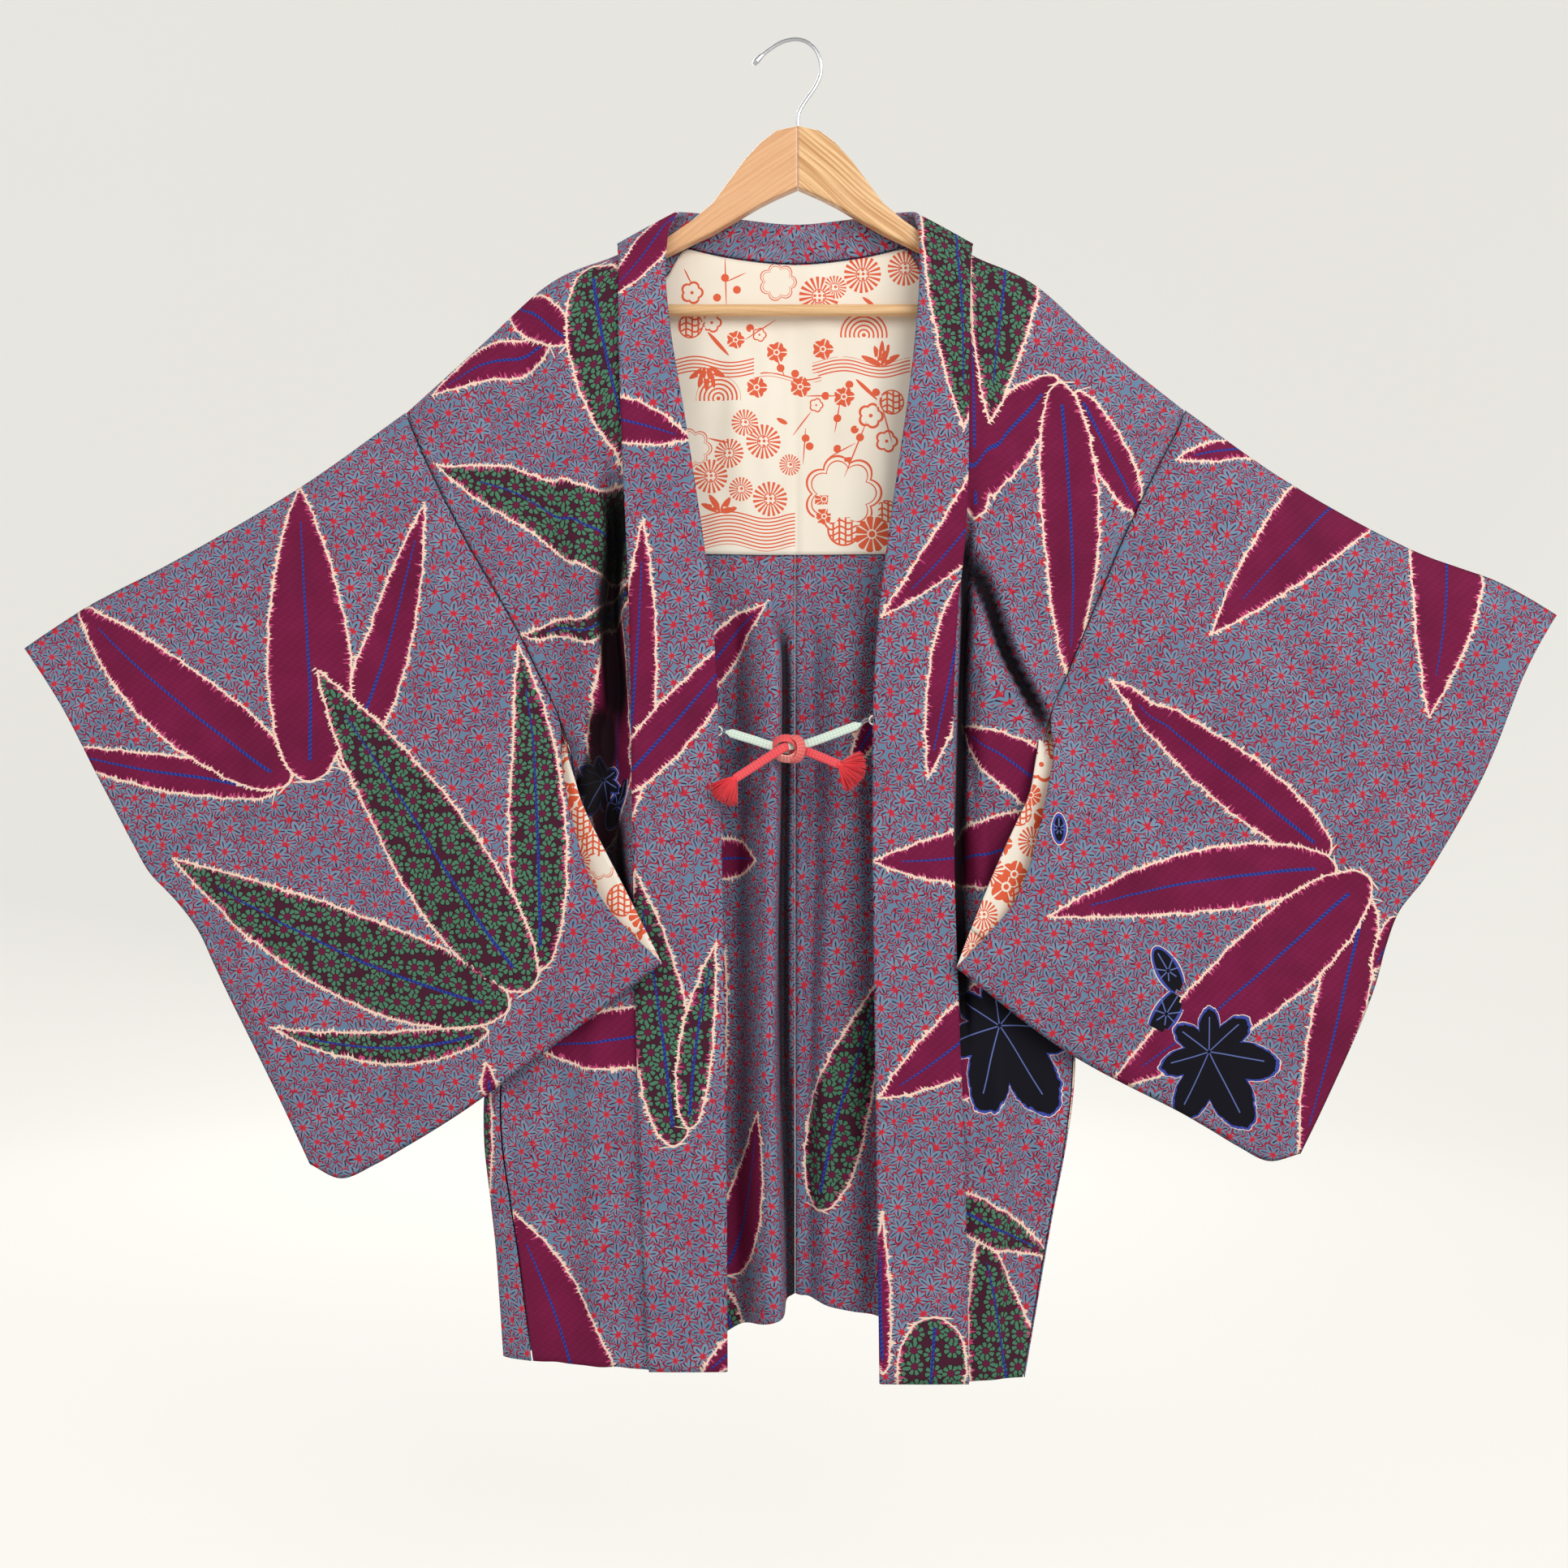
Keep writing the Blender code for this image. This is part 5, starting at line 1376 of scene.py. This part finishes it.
def make_loops(side, made_of):
    """The collar's sewn loop, and the cord's own loop that hangs in it."""
    inward = np.array([1.0 if side == "left" else -1.0, 1.0, 1.0])
    spot = np.array(LOOP_SPOTS[side])
    end = np.array(CORD_ROUTES["himo_from_" + side][0])
    across, back, up = LOOP_END
    own = [end + inward * (across, back, up), *(spot + inward * CORD_LOOP),
           end + inward * (across, -back, -up)]
    return (thread("chi_" + side, spot + inward * SEWN_LOOP, THREAD["sewn"],
                   made_of["pale"]),
            thread("himo_loop_" + side, own, THREAD["cord"], made_of["grey"]))


def make_tied_cord(white, coral, bands):
    """The cord's two halves with the knot, the tassels and the loops that hold them."""
    threads = dict(pale=thread_material("pale_thread", "#F1EFE4", "#C9C8BC"),
                   grey=thread_material("grey_thread", "#A9B0BC", "#5C6270"))
    floss = floss_material()
    knot = make_knot(bands)
    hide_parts("himo_knot")
    for side, other in (("left", "right"), ("right", "left")):
        cord, route = make_cord("himo_from_" + side, [white, coral])
        tassel = make_tassel(other, floss)
        sewn, own = make_loops(side, threads)
        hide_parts("himo_" + side, "himo_tail_" + other)
        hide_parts("tassel_" + other)
        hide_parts("chi_" + side)
        on_it = [tassel, own] + (knot if side == "left" else [])
        [value * MM for value in CORD_ROUTES["himo_from_" + side][0]]
        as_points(route)
        for piece, slot in ((cord, "braid_white"), (tassel, "tassel_silk"),
                            (sewn, "loop_thread"), (own, "loop_thread")):
            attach(piece, "root")
    for band in knot:
        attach(band, "root")

# ----------------------------------------------------------------- creases of the cloth
# Folds and ridges finer than the solid's, given one by one. Depth above zero goes back.

CREASES = {
    # top_x, top_z, foot_x, foot_z, half_width, depth, drag
    "front_left": [
        (-137, -345, -139, -505, 10.5, 11, 0), (-151, -340, -150, -500, 6, -6, 6),
        (-140, -505, -158, -572, 10, 9, 0), (-150, -572, -114, -690, 11, 9, 0),
        (-176, -200, -196, -330, 9, -2.2, 0), (-205, -230, -181, -380, 10, 2, 0),
        (-236, -300, -196, -400, 8, -2.4, 1), (-150, -640, -148, -990, 8, -3, 1),
        (-186, -820, -179, -1010, 8, 2.5, 0), (-128, -800, -130, -1000, 7, 2.5, 0)],
    "front_right": [
        (126, -380, 123, -730, 5, 13, 0), (137, -330, 131, -520, 7, -4, -2),
        (133, -398, 184, -512, 6, 14, 0), (145, -392, 196, -504, 6, -6, -5),
        (166, -420, 190, -500, 4, 3, 0), (128, -470, 150, -640, 9, 4, 0),
        (176, -190, 190, -320, 9, 2, 0), (214, -300, 200, -420, 8, -2.4, 0),
        (150, -760, 146, -1000, 8, -3, 1), (186, -850, 176, -1010, 8, 2.4, 0)],
    "back_left": [
        (-24, -440, -20, -1030, 8, -14, 8), (-11, -450, -3, -1030, 5.5, 8.5, 0),
        (-44, -430, -38, -1030, 9, 7, 0), (-26, -215, -18, -330, 7, -1.6, 0),
        (-62, -230, -48, -370, 9, 1.8, 0), (-70, -430, -66, -990, 10, -4, 2),
        (-118, -380, -104, -960, 12, 4, 0), (-150, -260, -176, -470, 11, -3, 0),
        (-168, -520, -160, -980, 10, -4, 1), (-226, -300, -200, -470, 9, 2.6, 0)],
    "back_right": [
        (12, -430, 8, -1000, 8, 8, 0), (32, -430, 24, -1000, 9, -4, -2),
        (66, -420, 62, -980, 10, 4, 0), (32, -215, 26, -330, 8, 1.6, 0),
        (60, -250, 66, -370, 8, -1.6, 0), (96, -500, 84, -990, 11, -4, 1),
        (146, -280, 168, -460, 11, 3, 0), (160, -560, 150, -980, 10, -3.5, 0),
        (222, -300, 202, -470, 9, -2.6, 0)],
    "sleeve_left_front": [
        (-352, -350, -318, -430, 8, -2.6, 1), (-342, -365, -304, -470, 9, 2.4, 0),
        (-420, -620, -396, -760, 7, -3.2, 1), (-408, -610, -378, -770, 8, 3, 0),
        (-250, -500, -272, -640, 13, -2.6, 0), (-470, -470, -440, -560, 10, 2.2, 0),
        (-300, -600, -330, -780, 12, -2.4, 0), (-235, -420, -262, -500, 9, 2.2, 0),
        (-530, -440, -500, -500, 8, -2, 0)],
    "sleeve_left_back": [
        (-300, -330, -340, -520, 10, -3, 1), (-318, -340, -362, -540, 10, 3, 0),
        (-420, -520, -400, -740, 10, -3, 1), (-260, -520, -280, -760, 13, 2.6, 0),
        (-480, -450, -452, -600, 10, 2.4, 0)],
    "sleeve_right_front": [
        (236, -500, 226, -660, 7, -3, 1), (247, -500, 240, -668, 7, 3, 0),
        (262, -520, 256, -640, 8, -2.6, 0), (300, -340, 330, -430, 9, 2.4, 0),
        (360, -370, 398, -480, 10, -2.6, 0), (420, -560, 392, -740, 12, -2.6, 1),
        (330, -600, 312, -780, 12, 2.4, 0), (480, -470, 450, -570, 10, 2, 0),
        (214, -420, 250, -520, 10, -2.2, 0)],
    "sleeve_right_back": [
        (296, -330, 336, -520, 10, -3, 1), (350, -380, 390, -520, 11, 3, 0),
        (410, -520, 396, -750, 10, -3, 0), (262, -540, 280, -770, 13, 2.6, 0),
        (480, -450, 455, -610, 10, -2.4, 0)],
}
SLACK = dict(front_left=(3, 1.5), front_right=(5, 1.5), back_left=(7, 1.9),
             back_right=(11, 1.9), sleeve_left_front=(13, 1.5), sleeve_left_back=(17, 1.7),
             sleeve_right_front=(19, 1.5), sleeve_right_back=(23, 1.7))
SAME_POINT = 0.05         # corners nearer than this are one
PRINT_LAYERS = ("wine_a", "wine_b", "wine_c", "dark_a", "dark_b", "maple")
LINING_LAYERS = ("spray", "motif", "stream")
HOLD = 14.0               # from a held edge, creases build up over this length
SEAM_HOLD = 5.0           # and over this one beside the collar and the side seam
GROOVE = (2.6, 3.0)       # how deep and how wide the back's seam lies, half of it
LAYER_GAP = 2.0           # a deep trough stops this far in front of the back layer
UNDERARM = dict(left=(-534.0, 9.0), right=(-531.0, 13.0))    # height, reach
UNDERARM_SPREAD = (24.0, 30.0)    # the sleeve's back reaches in this far up and across
CLOSED_REACH = 16.0       # a sleeve's layers part over this length from a closed edge
HALF_LAYER = 0.9          # half of what parts a sleeve's layers
UNDER_ROWS, TURN_ROWS, OUTER_ROWS = 10, 8, 16    # across the folded collar
COLLAR_FOOT = {"left": -991.0, "right": -1000.0}  # the height of its ends


def edge_mask(points, held, hold):
    """0 along the held edges, 1 beyond the hold from them. Held names the sides: first
    and last row, first and last column."""
    mask = np.ones(points.shape[:2])
    for name in held:
        axis = 0 if name in ("bottom", "top") else 1
        reach = travel_along(points, axis)
        if name in ("top", "outer"):
            reach = reach.take([-1], axis) - reach
        mask = mask * smoothstep(reach / hold)
    return mask


def travel_along(points, axis):
    """Each point's distance from the first one along its own row or column."""
    steps = np.linalg.norm(np.diff(points, axis=axis), axis=2)
    return np.concatenate([0 * steps.take([0], axis), np.cumsum(steps, axis=axis)], axis)


def dressed(points, chart, held, hold=HOLD):
    """The cloth with its creases and slackness, its held edges left in place."""
    made = slack(crease(points, CREASES[chart]), *SLACK[chart])
    return points + (made - points) * edge_mask(points, held, hold)[..., None]


def stopped_by(back, front, dark):
    """The front layer with its deep troughs ending just in front of the back layer."""
    # dark is the painted fold shade; here it only weighs how far a trough is stopped.
    front = front.copy()
    for row, shade in zip(front, dark):
        behind = back[np.abs(back[:, 0, 2] - row[:, 2].mean()).argmin()]
        behind = behind[np.argsort(behind[:, 0])]
        limit = np.interp(row[:, 0], behind[:, 0], behind[:, 1]) - LAYER_GAP
        row[:, 1] -= np.maximum(row[:, 1] - limit, 0.0) * np.minimum(shade * 8, 1.0)
    return front


# -------------------------------------------------------------------------- the pieces

def make_body(side, stations, cloth, lining):
    """One side's front and back panels, one length of cloth over the shoulder."""
    front, back = (refine(points, FINE_ROWS, FINE_BODY_COLUMNS)
                   for points in body_patches(side, stations))
    back[-1, NECK_COLUMNS * FINE_BODY_COLUMNS:] = front[-1]
    # Painted shade for the deepest troughs, kept with each panel's flat coordinates.
    painted_shade_front = painted_fold_shade(front, CREASES["front_" + side])
    painted_shade_back = painted_fold_shade(back, CREASES["back_" + side])
    front = dressed(front, "front_" + side, ("top", "inner", "outer"), SEAM_HOLD)
    back = dressed(back, "back_" + side, ("top", "inner", "outer"))
    to_seam = travel_along(back, 1)
    back[..., 1] += GROOVE[0] * np.exp(-(to_seam / GROOVE[1]) ** 2) * smoothstep(
        (back[-1:, :, 2] - back[..., 2]) / 200.0)
    front = stopped_by(back, front, painted_shade_front)
    sheet = Sheet()
    sheet.add(front, unroll(front, -1), "front_" + side, 0, -1, painted_shade_front)
    sheet.add(back, unroll(back, -1), "back_" + side, 1, 1, painted_shade_back)
    piece = sheet.build("body_" + side, [cloth, cloth, lining, cloth], SHOWN_WALL,
                        PRINT_LAYERS, inner_shift=2)
    return piece, back


def make_sleeve(side, cloth, lining):
    """A sleeve's two layers, joined along the top, the bottom and the closed cuff, and
    the strip of lining that shows at its inner edge."""
    fine = {layer: refine(points, FINE_ROWS, FINE_SLEEVE_COLUMNS)
            for layer, points in sleeve_patches(side).items()}
    closed = fine["back"][:, -1, 1] - fine["front"][:, -1, 1] < 2 * CLOSED_CUFF
    for layer, facing in (("front", -1), ("back", 1)):
        points = dressed(fine[layer], f"sleeve_{side}_{layer}",
                         ("top", "bottom", "inner", "outer"))
        apart = smoothstep(distance_to_closed(points, closed) / CLOSED_REACH)
        points[..., 1] += HALF_LAYER * (facing * apart - 1.0)
        fine[layer] = points
    height, reach = UNDERARM[side]
    up, across = UNDERARM_SPREAD
    back = fine["back"]
    inward = reach * np.exp(-((back[..., 2] - height) / up) ** 2
                            - (travel_along(back, 1) / across) ** 2)
    back[..., 0] += inward if side == "left" else -inward
    fine["back"][closed, -1] = fine["front"][closed, -1]
    fine["back"][0], fine["back"][-1] = fine["front"][0], fine["front"][-1]
    sheet = Sheet()
    for layer, facing in (("front", -1), ("back", 1)):
        sheet.add(fine[layer], unroll(fine[layer], 0), f"sleeve_{side}_{layer}",
                  facing=facing)
    piece = sheet.build("sleeve_" + side, [cloth, cloth, lining, cloth], SHOWN_WALL,
                        PRINT_LAYERS + ("motif",), inner_shift=2)
    strip = fine["back"][FINE_ROWS:FURI_ROWS * FINE_ROWS + 1,
                         :SLEEVE_LINING_COLUMNS * FINE_SLEEVE_COLUMNS + 1] + LINING_SHIFT
    return piece, single("sleeve_lining_" + side, strip, unroll(strip, 0), "furi", lining,
                         SHOWN_LINING, LINING_LAYERS)


def single(name, points, flat, chart, material, wall, layers):
    """A piece of cloth of one grid."""
    sheet = Sheet()
    sheet.add(points, flat, chart)
    return sheet.build(name, [material], wall, layers)


def distance_to_closed(points, closed):
    """How far each point lies from the top, the bottom and the closed part of the cuff."""
    up = travel_along(points, 0)
    across = travel_along(points, 1)
    to_cuff = across[:, -1:] - across
    reach = np.minimum(up, up[-1:] - up)
    for row in np.nonzero(closed)[0]:
        reach = np.minimum(reach, np.hypot(to_cuff, up - up[row:row + 1]))
    return reach


def make_collar(stations, cloth):
    """The folded band: under half, fold and outer half."""
    fine = finer(stations, FINE_COLLAR_COLUMNS)
    across, out, width = collar_frame(fine)
    under, fold_line, gap = fine[:, 6:7], fine[:, :3], COLLAR_HALF_GAP
    runs, offsets = [], []
    for share in np.linspace(1.0, 0.0, UNDER_ROWS + 1)[:-1]:
        runs.append(COLLAR_TURN + (under - COLLAR_TURN) * share)
        offsets.append(-gap)
    for angle in np.linspace(-math.pi / 2, math.pi / 2, TURN_ROWS + 1):
        runs.append(COLLAR_TURN - (COLLAR_TURN + COLLAR_ROLL) * math.cos(angle) + 0 * under)
        offsets.append(gap * math.sin(angle))
    for share in np.linspace(0.0, 1.0, OUTER_ROWS + 1)[1:]:
        runs.append(COLLAR_TURN + (width - COLLAR_TURN) * share)
        offsets.append(gap * (1 + (COLLAR_FULLNESS - 1) * math.sin(math.pi * share)))
    points = np.stack([fold_line + across * run + out * offset
                       for run, offset in zip(runs, offsets)])
    run = np.stack(runs)[..., 0]
    fold_row = UNDER_ROWS + TURN_ROWS // 2
    run[:fold_row] *= -1
    lengths = travel(fold_line)
    middle = len(lengths) // 2
    sheet = Sheet()
    for side, sign, part, height in (
            ("left", -1, slice(0, middle + 1), lengths + COLLAR_FOOT["left"]),
            ("right", 1, slice(middle, None), lengths[-1] - lengths + COLLAR_FOOT["right"])):
        flat = np.stack([fine[:, 0] + sign * run, height + 0 * run], axis=-1)
        for rows, chart in ((slice(0, fold_row + 1), "plain"),
                            (slice(fold_row, None), "collar_" + side)):
            sheet.add(points[rows, part], flat[rows, part], chart, facing=0)
    return sheet.build("collar", [cloth], SHOWN_WALL, PRINT_LAYERS)


def make_gusset(side, cloth):
    points = refine(gusset_points(side), FINE_ROWS, FINE_GUSSET_COLUMNS)
    name = "machi_" + side
    return single(name, points, unroll(points, 0), name, cloth, SHOWN_WALL, PRINT_LAYERS)


def make_back_lining(left, right, lining):
    points = back_lining_points(left, right, FINE_BODY_COLUMNS)
    return single("lining_back", points, points[..., [0, 2]], "lining", lining,
                  SHOWN_LINING, LINING_LAYERS)

# ------------------------------------------------------------- plain and small materials

def braid_material(name, colour, dark):
    """Flat silk braid: lengthwise ribs, with fine slanting ticks of its plait that carry painted
    shade in their grooves.
    """
    made, tree = new_material(name, 0.5, Sheen_Weight=0.2, Specular_IOR_Level=0.4)
    along, across, _, _ = attribute(tree, "flat")
    slant = along * 2.6 + (across * 1.5).math("PINGPONG", 1.0) * 2.2
    tick = slant.math("SINE") * 0.5 + 0.5
    groove = (across * (2 * math.pi * BRAID["ribs"] / BRAID["width"])).math("COSINE")
    # The ticks darken where the bump sinks: painted shade in the plait's grooves.
    shade = blend((tick * 0.55 + groove * 0.2 + 0.1).math("MAXIMUM", 0.0), colour, dark)
    return surfaced(made, shade, tick * -1.0, 0.22)


def floss_material():
    made, tree = new_material("red_floss", 0.45, Sheen_Weight=0.25, Specular_IOR_Level=0.45)
    along, tone, _, _ = attribute(tree, "flat")
    colour = blend(tone * 0.1, "#F62533", "#DE1526")
    # Painted highlight: the floss turns lighter toward its bound root.
    colour = blend((along * -0.09 + 1.0).math("MAXIMUM", 0.0) * 0.5, colour, "#F4434A")
    return surfaced(made, colour, noise(along * 0.2, tone, 0.4), 0.15)


def thread_material(name, colour, dark):
    made, tree = new_material(name, 0.65, Sheen_Weight=0.15)
    x, _, z = object_place(tree)
    twist = ((x * 1.0 + z * 0.8) * (2 * math.pi / (1.1 * MM))).math("SINE") * 0.5 + 0.5
    # Painted shade and highlight: the twist is darker in the bump's grooves and lighter on its
    # crests.
    return surfaced(made, blend(twist, dark, colour), twist, 0.12)


def wood_material(name, light, dark, figure, slope):
    """Lacquered beech, its grain along an arm that slopes by this angle."""
    made, tree = new_material(name, 0.38, Specular_IOR_Level=0.5, Coat_Weight=0.25,
                              Coat_Roughness=0.25)
    x, y, z = object_place(tree)
    along = (x * math.cos(slope) + z * math.sin(slope)) / MM
    across = (z * math.cos(slope) - x * math.sin(slope)) / MM
    bow = noise(along, across, 90.0, 1.0, z=y / MM) * 14.0
    rings = noise(along * 0.02, across + bow, 1.9, 3.0, z=y * (0.4 / MM))
    flecks = noise(along * 0.16, across, 0.8, 2.0, z=y * (0.5 / MM))
    streak = ((rings - 0.5) * figure + 0.42).math("MAXIMUM", 0.0).math("MINIMUM", 1.0)
    colour = blend(streak, light, dark)
    fleck = ((flecks - 0.62) * 5.0).math("MAXIMUM", 0.0).math("MINIMUM", 0.35)
    return surfaced(made, blend(fleck, colour, dark), rings + flecks * 0.5, 0.06)


def steel_material():
    made, tree = new_material("drawn_steel", 0.28, Metallic=1.0)
    x, y, z = object_place(tree)
    drawn = noise(x / MM, z / MM, 0.5, 3.0, z=y * (4.0 / MM))
    return surfaced(made, blend(drawn, "#C4C6CA", "#9A9CA2"), drawn, 0.03)


def room_material():
    made, tree = new_material("pale_plaster", 0.9, Emission_Color=rgb(ROOM["glow"]),
                              Emission_Strength=ROOM["glowing"])
    x, y, z = object_place(tree)
    cloud = noise(x, y, 0.9, 2.0, z=z)
    return surfaced(made, blend(cloud, ROOM["wall"], ROOM["shade"]))


# --------------------------------------------------------------- camera, lights and room

ROOM = dict(wall="#B0AFAA", shade="#ADABA5", glow="#FBFAF6", glowing=0.5, floor=-1250.0,
            radius=3600.0, cove=1100.0, height=4600.0, around=128, steps=16)
LIGHTS = {
    # place, aim and width in mm, power in watts
    "key": ((1450, -2450, 700), (0, 0, -640), 1900, 50.0),
    "fill": ((-1600, -2350, 500), (0, 0, -640), 1700, 14.0),
    "back": ((-500, 2300, 700), (0, 0, -560), 1900, 40.0),
}
SKY = dict(colour="#F4F2EE", strength=0.66)


def make_camera():
    data = bpy.data.cameras.new("camera")
    data.sensor_fit = "HORIZONTAL"
    data.angle = 2 * math.atan(CAMERA["half_frame"])
    data.clip_end = 50.0
    camera = linked("camera", data)
    camera.location = (CAMERA["x"] * MM, CAMERA["y"] * MM, CAMERA["z"] * MM)
    camera.rotation_euler = (math.pi / 2, 0.0, 0.0)
    bpy.context.scene.camera = camera


def make_lights():
    for name, (place, aim, width, power) in LIGHTS.items():
        data = bpy.data.lights.new(name, "AREA")
        data.size = width * MM
        data.energy = power
        light = linked(name, data)
        light.location = [value * MM for value in place]
        way = Vector(aim) - Vector(place)
        light.rotation_euler = way.to_track_quat("-Z", "Y").to_euler()
        light.visible_camera = False
    world = bpy.data.worlds.new("soft_sky")
    world.use_nodes = True
    sky = world.node_tree.nodes["Background"]
    sky.inputs["Color"].default_value = rgb(SKY["colour"])
    sky.inputs["Strength"].default_value = SKY["strength"]
    bpy.context.scene.world = world
    bpy.context.scene.view_settings.view_transform = "Standard"


def make_room():
    """A pale floor that turns up into a round wall, with no edge to see."""
    radius, cove, foot = ROOM["radius"], ROOM["cove"], ROOM["floor"]
    bend = np.linspace(0, math.pi / 2, ROOM["steps"] + 1)
    out = np.append(radius - cove + cove * np.sin(bend), radius)[:, None]
    height = np.append(foot + cove * (1 - np.cos(bend)), foot + ROOM["height"])[:, None]
    turn = np.linspace(0, 2 * math.pi, ROOM["around"], endpoint=False)
    points = np.stack([out * np.cos(turn), out * np.sin(turn), height + 0 * turn], axis=-1)
    faces = tube_faces(0, len(out), len(turn))[:-1]
    mesh = bpy.data.meshes.new("room")
    mesh.from_pydata((points.reshape(-1, 3) * MM).tolist(), [], [face[::-1] for face in faces])
    mesh.shade_smooth()
    mesh.materials.append(room_material())
    room = linked("room", mesh)
    room.visible_diffuse = False
    room.visible_shadow = False


# ------------------------------------------------------------------------ all the cloth

CUTS = {
    # piece: the cut's width, length and area, how it is held, what carries it, what it
    # stands for
    "body_left": (0.33, 1.72, 0.28, "hung", ["hanger_arm_left"],
                  ["body_left_front", "body_left_back"]),
    "body_right": (0.33, 1.72, 0.28, "hung", ["hanger_arm_right"],
                   ["body_right_front", "body_right_back"]),
    "sleeve_left": (0.70, 0.46, 0.29, "hung", ["body_left"],
                    ["sleeve_left_front", "sleeve_left_back"]),
    "sleeve_right": (0.70, 0.46, 0.29, "hung", ["body_right"],
                     ["sleeve_right_front", "sleeve_right_back"]),
    "sleeve_lining_left": (0.06, 0.25, 0.0135, "hung", ["sleeve_left"],
                           ["sleeve_lining_left"]),
    "sleeve_lining_right": (0.06, 0.25, 0.0135, "hung", ["sleeve_right"],
                            ["sleeve_lining_right"]),
    "machi_left": (0.07, 0.50, 0.0135, "hung", ["body_left"], ["machi_left"]),
    "machi_right": (0.07, 0.50, 0.0135, "hung", ["body_right"], ["machi_right"]),
    "collar": (0.13, 1.95, 0.215, "folded", ["body_left", "body_right"], ["collar"]),
    "lining_back": (0.26, 0.22, 0.053, "hung", ["body_left", "body_right"],
                    ["lining_back"]),
}


def make_cloth(cloth, lining):
    """Every piece of cloth, attached in place of the solids that it stands for."""
    stations = collar_stations()
    made, backs = {}, {}
    for side in ("left", "right"):
        made["body_" + side], backs[side] = make_body(side, stations, cloth, lining)
        made["sleeve_" + side], made["sleeve_lining_" + side] = make_sleeve(
            side, cloth, lining)
        made["machi_" + side] = make_gusset(side, cloth)
    made["collar"] = make_collar(stations, cloth)
    made["lining_back"] = make_back_lining(backs["left"], backs["right"], lining)
    for name, piece in made.items():
        width, length, cut, held, carrier, stands_for = CUTS[name]
        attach(piece, "root")
        "lining_cloth" if "lining" in name else "shell_cloth"
        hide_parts(*stands_for)
        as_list(carrier)


def finish_hanger(nodes):
    """The hanger keeps its solids and takes grain, lacquer and drawn steel."""
    left = wood_material("beech_left", "#EDB98A", "#C98F5C", 1.4, math.radians(36))
    right = wood_material("beech_right", "#EEC28C", "#BD8449", 3.2, math.radians(-40))
    bar = wood_material("beech_bar", "#F0C793", "#C8955E", 1.6, 0.0)
    for name, material in (("hanger_arm_left", left), ("hanger_arm_right", right),
                           ("hanger_bar", bar), ("hanger_hook", steel_material())):
        nodes[name].data.materials.clear()
        nodes[name].data.materials.append(material)


# --------------------------------------------------------------------------------- all

def main():
    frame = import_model()
    make_camera()
    white = braid_material("white_braid", "#E4F1E6", "#B9D3BF")
    coral = braid_material("coral_braid", "#F4585E", "#D9343E")
    bands = {name: braid_material("braid_" + name, colour, "#D9434A")
             for name, colour in KNOT_COLOURS.items()}
    make_tied_cord(white, coral, bands)
    cloth, lining = printed_crepe(), printed_lining()
    make_cloth(cloth, lining)
    finish_hanger(frame["nodes"])
    make_lights()
    make_room()


main()
